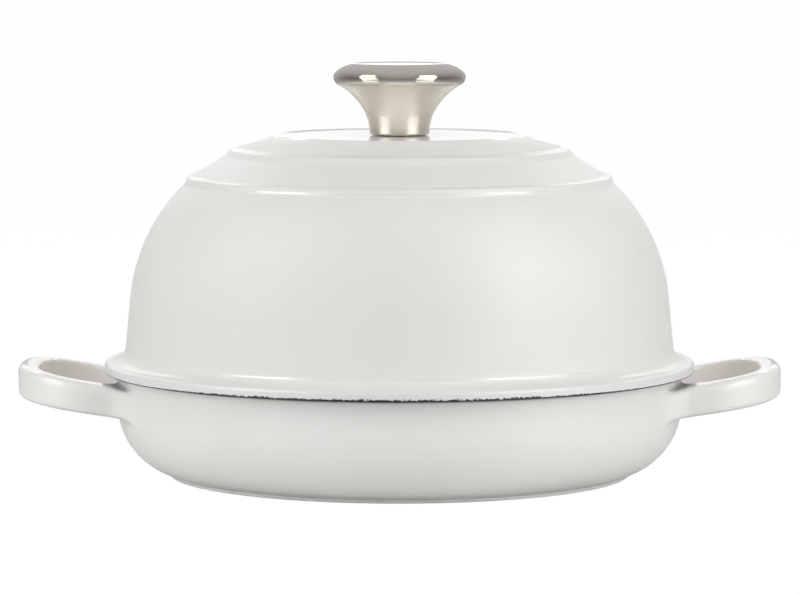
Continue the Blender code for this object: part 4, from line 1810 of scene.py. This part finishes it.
@dataclass
class Fastening:
    """The screw, washer and bush that hold the knob. Sizes are in millimetres."""

    bush_foot: float
    washer_foot: float
    screw_seat: float
    screw_end: float
    screw_radius: float = 3.0
    pitch: float = 1.0
    thread_depth: float = 0.45
    thread_rows: int = 12
    flank_slope: float = 2.4
    flank_foot: float = 0.1
    point_depth: float = 0.6
    point_run: float = 0.8
    shank_clear: float = 1.0
    head_radius: float = 5.8
    head_height: float = 3.6
    head_rounding: float = 2.2
    recess_length: float = 6.4
    recess_width: float = 1.3
    recess_depth: float = 1.7
    recess_taper: float = 0.55
    hole_radius: float = 3.5
    washer_radius: float = 9.0
    washer_thickness: float = 1.2
    bush_bore: float = 3.3
    bush_collar_radius: float = 11.0
    bush_collar_height: float = 2.5
    bush_radius: float = 6.5
    bush_height: float = 14.0
    turn_steps: int = 96

    def thread_radius(self, height: float, turn: np.ndarray) -> np.ndarray:
        """Find the screw's radius at a height.

        Args:
            height: The height.
            turn: Angles, in whole turns.

        Returns:
            One radius for each angle.
        """
        phase = (height / self.pitch - turn) % 1.0
        flank = np.clip(self.flank_slope * np.abs(phase - 0.5) - self.flank_foot, 0.0, 1.0)
        start = np.clip((height - self.screw_seat - self.shank_clear) / self.pitch, 0.0, 1.0)
        end = np.clip((self.screw_end - height) / (self.point_run * self.pitch), 0.0, 1.0)
        depth = self.thread_depth * (1 - flank) * start
        return self.screw_radius - np.maximum(depth, self.point_depth * (1 - end))

    def screw(self, finish: bpy.types.Material) -> bpy.types.Object:
        """Make the threaded screw with its domed head and cross recess.

        Args:
            finish: The screw's material.

        Returns:
            The screw.
        """
        parts = MeshParts()
        rows = int((self.screw_end - self.screw_seat) / (self.pitch / self.thread_rows))
        turns = np.arange(self.turn_steps) / self.turn_steps
        angles = 2 * np.pi * turns
        rings = [parts.add_points([(0.0, 0.0, self.screw_end)])]
        for row in range(rows + 1):
            height = self.screw_end + (self.screw_seat - self.screw_end) * row / rows
            radii = self.thread_radius(height, turns)
            rings.append(parts.add_points(ring_points(radii, height, angles)))
        below = self.screw_seat - self.head_height
        corners = [
            Corner(self.screw_radius, self.screw_seat),
            Corner(self.head_radius, self.screw_seat, 0.2),
            Corner(self.head_radius, below, self.head_rounding),
            Corner(0.0, below),
        ]
        for radius, height in held(rounded(corners))[1:-1]:
            rings.append(parts.add_points(ring_points(radius, height, angles)))
        rings.append(parts.add_points([(0.0, 0.0, below)]))
        for ring, after in zip(rings, rings[1:]):
            parts.join_rings(ring, after)
        made = parts.finished("threaded_screw", [finish])
        cut_away(made, self.recess(finish, below))
        return made

    def recess(self, finish: bpy.types.Material, below: float) -> bpy.types.Object:
        """Make the cross that is cut into the head, tapered towards its floor.

        Args:
            finish: The material of its walls.
            below: Height of the head's lowest point.

        Returns:
            The cutter.
        """
        parts = MeshParts()
        wide = self.recess_width / 2
        levels = ((below - 1.0, 1.0), (below, 1.0), (below + self.recess_depth, self.recess_taper))
        rings = []
        for height, share in levels:
            long = self.recess_length / 2 * share
            outline = []
            for quarter in range(4):
                turn = quarter * math.pi / 2
                for x, y in ((wide, -wide), (long, -wide), (long, wide)):
                    turned_x = x * math.cos(turn) - y * math.sin(turn)
                    outline.append((turned_x, x * math.sin(turn) + y * math.cos(turn), height))
            rings.append(parts.add_points(outline))
        for ring, after in zip(rings, rings[1:]):
            parts.join_rings(ring, after)
        parts.add_face(rings[0])
        parts.add_face(rings[-1])
        return parts.finished("recess_cutter", [finish])

    def washer_outline(self) -> list[Point]:
        """Lay out the washer.

        Returns:
            Its closed outline.
        """
        top = self.washer_foot + self.washer_thickness
        corners = [
            Corner(self.hole_radius, self.washer_foot, 0.15),
            Corner(self.washer_radius, self.washer_foot, 0.25),
            Corner(self.washer_radius, top, 0.25),
            Corner(self.hole_radius, top, 0.15),
        ]
        return held(rounded(corners, closed=True), hold=0.1)

    def bush_outline(self) -> list[Point]:
        """Lay out the bush.

        Returns:
            Its closed outline.
        """
        collar_top = self.bush_foot + self.bush_collar_height
        top = self.bush_foot + self.bush_height
        corners = [
            Corner(self.bush_bore, self.bush_foot, 0.2),
            Corner(self.bush_collar_radius, self.bush_foot, 0.4),
            Corner(self.bush_collar_radius, collar_top, 0.4),
            Corner(self.bush_radius, collar_top, 0.3),
            Corner(self.bush_radius, top, 0.5),
            Corner(self.bush_bore, top, 0.3),
        ]
        return held(rounded(corners, closed=True), hold=0.1)

    def build(self, finishes: Finishes) -> list[bpy.types.Object]:
        """Make the three pieces.

        Args:
            finishes: The oven's materials.

        Returns:
            The screw, the washer and the bush, which ride on the lid.
        """
        made = [self.screw(finishes.plated)]
        for name, outline in (("flat_washer", self.washer_outline()), ("knob_insert", self.bush_outline())):
            parts = MeshParts()
            parts.turn([Zone(outline)], self.turn_steps, closed=True)
            made.append(parts.finished(name, [finishes.plated]))
        for piece, node in zip(made, ("knob_screw", "screw_washer", "knob_bush")):
            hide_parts(node)
            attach(piece, Body.LID.value)
        return made


# The studio


class Role(Enum):
    """What a softbox does: light the whole oven, or be mirrored in its enamel or its steel alone."""

    LIGHTS = "lights"
    IN_ENAMEL = "enamel"
    IN_STEEL = "steel"


@dataclass(frozen=True)
class Softbox:
    """A soft light: its direction from the oven, its size and distance in metres, and its strength.

    The azimuth is counted from the camera, towards the right of the picture. A softbox with no elevation
    stands upright, just off the floor. One that leans is turned in its own plane, by so many degrees.
    """

    name: str
    azimuth: float
    elevation: Optional[float]
    width: float
    height: float
    radiance: float
    distance: float
    role: Role
    lean: float = 0.0
    off_floor: float = 0.01

    def build(self, aim: Vector, receivers: dict[Role, bpy.types.Collection]) -> None:
        """Make the light.

        Args:
            aim: The point that it looks at.
            receivers: The pieces that lights of a role are kept for. Other lights reach everything.
        """
        turn = math.radians(self.azimuth)
        rise = math.radians(self.elevation or 0.0)
        if self.elevation is None:
            aim = Vector((aim.x, aim.y, self.height / 2 + self.off_floor))
        way = Vector((math.sin(turn) * math.cos(rise), -math.cos(turn) * math.cos(rise), math.sin(rise)))
        made = area_light(self.name, self.width, self.height, self.radiance)
        made.visible_glossy = self.role is not Role.LIGHTS
        made.visible_diffuse = self.role is Role.LIGHTS
        if self.role in receivers:
            made.light_linking.receiver_collection = receivers[self.role]
        made.location = aim + way * self.distance
        leaning = Quaternion((0.0, 0.0, 1.0), math.radians(self.lean))
        made.rotation_euler = ((-way).to_track_quat("-Z", "Y") @ leaning).to_euler()


def area_light(name: str, width: float, height: float, radiance: float) -> bpy.types.Object:
    """Make a rectangular light that the camera doesn't see.

    Args:
        name: The light's name.
        width: Its width in metres.
        height: Its height in metres.
        radiance: The strength of its surface, whatever its size.

    Returns:
        The light's object, linked to the scene.
    """
    lamp = bpy.data.lights.new(name, "AREA")
    lamp.shape = "RECTANGLE"
    lamp.size, lamp.size_y = width, height
    lamp.energy = radiance * math.pi * width * height
    made = bpy.data.objects.new(name, lamp)
    made.visible_camera = False
    bpy.context.scene.collection.objects.link(made)
    return made


@dataclass(frozen=True)
class Studio:
    """A white floor and backdrop, soft lights and the camera. Sizes are in metres.

    Mirrored lights are kept for the enamel or for the steel, because the reflections in the two don't come
    from one set of lights. Lights that overlap, seen from the oven, differ in distance.
    """

    camera_distance: float = 1.865
    camera_height: float = 0.2457
    camera_aside: float = 0.0002
    camera_pitch: float = math.radians(5.19)
    lens: float = 195.0
    sensor: float = 36.0
    aim_height: float = 0.08
    floor_half: float = 9.0
    floor_albedo: float = 0.85
    floor_mottle: float = 1.03
    # painted shade: share of the floor's paint left far from the oven
    floor_far_painted_shade: float = 0.6
    floor_roughness: float = 0.9
    floor_polish: float = 0.75
    polish_albedo: float = 0.85
    polish_roughness: float = 0.12
    floor_glow: float = 1.018
    floor_glow_share: float = 0.97
    world_radiance: float = 0.235
    room_radiance: float = 0.45
    room_behind: float = 0.10
    room_above: float = 0.12
    room_aside: float = -0.25
    glow_width: float = 0.03
    glow_depth: float = 0.04
    glow_ahead: float = 0.036
    glow_above: float = 0.0015
    glow_radiance: float = 0.30
    screen_radius: float = 1.3
    screen_foot: float = 0.005
    screen_height: float = 0.34
    screen_half_turn: float = math.radians(44.0)
    screen_low: float = 0.45
    screen_high: float = 0.5
    screen_light_share: float = 1.12
    softboxes: tuple[Softbox, ...] = (
        Softbox("left_window", -60.5, None, 0.46, 1.15, 3.3, 0.65, Role.IN_ENAMEL),
        Softbox("right_window", 53.5, None, 0.51, 1.15, 3.3, 0.65, Role.IN_ENAMEL),
        Softbox("left_high_window", -66.5, 35.0, 0.36, 0.11, 7.2, 0.70, Role.IN_ENAMEL),
        Softbox("right_high_window", 57.0, 35.0, 0.40, 0.11, 5.4, 0.70, Role.IN_ENAMEL),
        Softbox("left_window_on_steel", -60.5, None, 0.38, 0.95, 1.32, 0.66, Role.IN_STEEL, 14.0),
        Softbox("right_window_on_steel", 53.5, None, 0.42, 0.95, 1.32, 0.66, Role.IN_STEEL, -14.0),
        Softbox("left_window_light", -60.5, None, 0.53, 0.6, 1.84, 0.75, Role.LIGHTS),
        Softbox("right_window_light", 53.5, None, 0.59, 0.6, 1.84, 0.75, Role.LIGHTS),
        Softbox("left_fill", -60.0, 2.0, 0.8, 0.6, 1.8, 1.5, Role.LIGHTS),
        Softbox("right_fill", 60.0, 2.0, 0.8, 0.6, 1.8, 1.5, Role.LIGHTS),
        Softbox("back_fill", 180.0, 35.0, 1.6, 0.8, 1.95, 1.5, Role.LIGHTS),
        Softbox("back_glow", 180.0, None, 2.2, 0.30, 0.6, 1.28, Role.IN_ENAMEL),
        Softbox("back_high_glow", 180.0, 17.0, 1.8, 0.30, 0.8, 1.31, Role.IN_ENAMEL),
        Softbox("left_back_glow", -159.0, None, 0.82, 0.45, 0.9, 1.33, Role.IN_ENAMEL),
        Softbox("right_back_glow", 159.0, None, 0.82, 0.45, 0.9, 1.33, Role.IN_ENAMEL),
        Softbox("back_glow_on_steel", 180.0, None, 0.9, 0.36, 0.68, 1.27, Role.IN_STEEL),
        Softbox("top_fill", 0.0, 88.0, 1.6, 1.6, 0.95, 1.5, Role.LIGHTS),
        Softbox("front_fill", 0.0, 52.0, 0.6, 0.5, 2.4, 1.52, Role.LIGHTS),
        Softbox("left_rim", -152.0, 34.0, 0.35, 0.25, 6.0, 1.5, Role.IN_ENAMEL),
        Softbox("right_rim", 152.0, 34.0, 0.35, 0.25, 6.0, 1.5, Role.IN_ENAMEL),
    )

    def camera(self) -> None:
        """Place the camera at the photograph's height, distance and pitch."""
        data = bpy.data.cameras.new("camera")
        data.lens = self.lens
        data.sensor_width = self.sensor
        data.clip_end = 60.0
        made = bpy.data.objects.new("camera", data)
        made.location = (self.camera_aside, -self.camera_distance, self.camera_height)
        made.rotation_euler = (math.pi / 2 - self.camera_pitch, 0.0, 0.0)
        bpy.context.scene.collection.objects.link(made)
        bpy.context.scene.camera = made

    def floor_material(self) -> bpy.types.Material:
        """Build the floor's paint.

        It is lit and shaded for the oven, half a mirror in what the oven mirrors, and bright white where the
        camera looks at it. Its paint darkens away from the oven, a painted falloff of the light round it.

        Returns:
            The material.
        """
        surface = Surface("studio_floor")
        graph = surface.graph
        mottle = graph.mapped(graph.noise(surface.place, 3.0, 3.0), 0.3, 0.7)
        shade = graph.between(mottle, self.floor_albedo, self.floor_albedo * self.floor_mottle)
        distance = graph.add("VectorMath", {0: surface.place}, operation="LENGTH").outputs["Value"]
        # painted shade: the paint darkens from 0.25 m to 0.75 m from the middle
        falling_shade = graph.math("MULTIPLY", shade, graph.mapped(distance, 0.25, 0.75, 1.0, self.floor_far_painted_shade))
        paint = graph.add("CombineColor", {"Red": falling_shade, "Green": falling_shade, "Blue": falling_shade}).outputs[0]
        graph.feed(surface.shader.inputs["Base Color"], paint)
        surface.shader.inputs["Roughness"].default_value = self.floor_roughness
        rays = graph.add("LightPath").outputs
        polish_tone = (self.polish_albedo, self.polish_albedo, self.polish_albedo, 1.0)
        polish = graph.add("BsdfGlossy", {"Color": polish_tone, "Roughness": self.polish_roughness})
        mirrored = graph.math("MULTIPLY", rays["Is Glossy Ray"], self.floor_polish)
        sheen = graph.add("MixShader", {0: mirrored, 1: surface.shader.outputs[0], 2: polish.outputs[0]})
        glow = graph.add("Emission", {"Color": (1.0, 1.0, 1.0, 1.0), "Strength": self.floor_glow})
        seen = graph.math("MULTIPLY", rays["Is Camera Ray"], self.floor_glow_share)
        mix = graph.add("MixShader", {0: seen, 1: sheen.outputs[0], 2: glow.outputs[0]})
        graph.feed(graph.tree.nodes["Material Output"].inputs["Surface"], mix.outputs[0])
        return surface.material

    def screen_material(self) -> bpy.types.Material:
        """Build the backdrop's even glow, which is a little stronger as a light than as a reflection.

        Returns:
            The material.
        """
        surface = Surface("studio_screen")
        graph = surface.graph
        up = graph.parts(surface.place)[2]
        rising = graph.mapped(up, 0.05, 0.22, self.screen_low, self.screen_high)
        mirrored = graph.add("LightPath").outputs["Is Glossy Ray"]
        share = graph.between(mirrored, self.screen_light_share, 1.0)
        strength = graph.math("MULTIPLY", rising, share)
        glow = graph.add("Emission", {"Color": (1.0, 1.0, 1.0, 1.0), "Strength": strength})
        graph.feed(graph.tree.nodes["Material Output"].inputs["Surface"], glow.outputs[0])
        graph.tree.nodes.remove(surface.shader)
        return surface.material

    def floor(self) -> bpy.types.Object:
        """Make the floor, a divided sheet under the foot.

        Returns:
            The floor.
        """
        parts = MeshParts()
        half = self.floor_half / MM
        marks = np.linspace(-half, half, 9)
        rows = [parts.add_points([(x, y, 0.0) for x in marks]) for y in marks]
        for row, after in zip(rows, rows[1:]):
            for index in range(len(marks) - 1):
                parts.add_face((row[index], row[index + 1], after[index + 1], after[index]))
        made = parts.finished("studio_floor", [self.floor_material()])
        return made

    def screen(self) -> None:
        """Make the bright curved backdrop behind the oven, which the camera doesn't see."""
        parts = MeshParts()
        turns = np.linspace(-self.screen_half_turn, self.screen_half_turn, 33)
        radius = self.screen_radius / MM
        low = [(radius * math.sin(turn), radius * math.cos(turn), self.screen_foot / MM) for turn in turns]
        high = [(x, y, self.screen_height / MM) for x, y, _ in low]
        lower, upper = parts.add_points(low), parts.add_points(high)
        for index in range(len(turns) - 1):
            parts.add_face((lower[index], lower[index + 1], upper[index + 1], upper[index]))
        made = parts.finished("studio_screen", [self.screen_material()])
        made.visible_camera = False

    def world(self) -> None:
        """Light the rest of the room with a dim grey, and show it white.

        Steel mirrors the room as darker at both sides and in front than behind the oven.
        """
        world = bpy.data.worlds.new("studio_world")
        world.use_nodes = True
        graph = Graph(world.node_tree)
        graph.tree.nodes.clear()
        rays = graph.add("LightPath").outputs
        across, along, up = graph.parts(graph.add("TexCoord").outputs["Generated"])
        room = graph.math("MULTIPLY_ADD", along, self.room_behind, self.room_radiance)
        room = graph.math("MULTIPLY_ADD", up, self.room_above, room)
        room = graph.math("MULTIPLY_ADD", graph.math("MULTIPLY", across, across), self.room_aside, room)
        unseen = graph.between(rays["Is Glossy Ray"], self.world_radiance, room)
        strength = graph.between(rays["Is Camera Ray"], unseen, 1.0)
        background = graph.add("Background", {"Color": (1.0, 1.0, 1.0, 1.0), "Strength": strength})
        graph.feed(graph.add("OutputWorld").inputs["Surface"], background.outputs[0])
        bpy.context.scene.world = world

    def plate_glow(self, receivers: bpy.types.Collection) -> None:
        """Lift the lid's bright plate in what the knob mirrors.

        Args:
            receivers: The steel pieces, which alone mirror it.
        """
        made = area_light("plate_glow", self.glow_width, self.glow_depth, self.glow_radiance)
        made.location = (0.0, -self.glow_ahead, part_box("dome_lid")[1].z + self.glow_above)
        made.rotation_euler = (math.pi, 0.0, 0.0)
        made.visible_diffuse = False
        made.light_linking.receiver_collection = receivers

    def build(self, groups: dict[Role, Sequence[bpy.types.Object]]) -> None:
        """Make the whole studio round the oven.

        Args:
            groups: The pieces that lights of a role are kept for.
        """
        self.camera()
        floor = self.floor()
        self.screen()
        self.world()
        receivers = {}
        for role, pieces in groups.items():
            receivers[role] = bpy.data.collections.new(role.value)
            for piece in pieces:
                receivers[role].objects.link(piece)
        receivers[Role.IN_STEEL].objects.link(floor)
        for softbox in self.softboxes:
            softbox.build(Vector((0.0, 0.0, self.aim_height)), receivers)
        self.plate_glow(receivers[Role.IN_STEEL])
        bpy.context.scene.view_settings.view_transform = "Standard"


def heights(node: str) -> tuple[float, float]:
    """Return the lowest and the highest point of a CAD node, in millimetres."""
    low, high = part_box(node)
    return low.z / MM, high.z / MM


def main() -> None:
    """Load the frame, build the oven piece by piece and the studio round it, and log each piece's face count.
    """
    logging.basicConfig(level=logging.INFO, format="%(message)s")
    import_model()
    lid = DomeLid(seat=heights("dome_lid")[0] + DomeLid.lip_drop)
    pan = Pan(rim_height=lid.seat - SEAT_GAP)
    knob = Knob(foot=heights("knob_body")[0], cap_seat=heights("knob_cap")[0] - Knob.rim_drop)
    fastening = Fastening(
        bush_foot=heights("knob_bush")[0],
        washer_foot=heights("screw_washer")[0],
        screw_seat=heights("screw_washer")[0] - SEAT_GAP,
        screw_end=heights("knob_screw")[1],
    )
    finishes = Finishes(lid, pan)
    enamelled = [pan.build(finishes), lid.build(finishes)]
    steel = knob.build(finishes) + fastening.build(finishes)
    for piece in enamelled + steel:
        LOG.info("%s has %d faces", piece.name, len(piece.data.polygons))
    Studio().build({Role.IN_ENAMEL: enamelled, Role.IN_STEEL: steel})


if __name__ == "__main__":
    main()
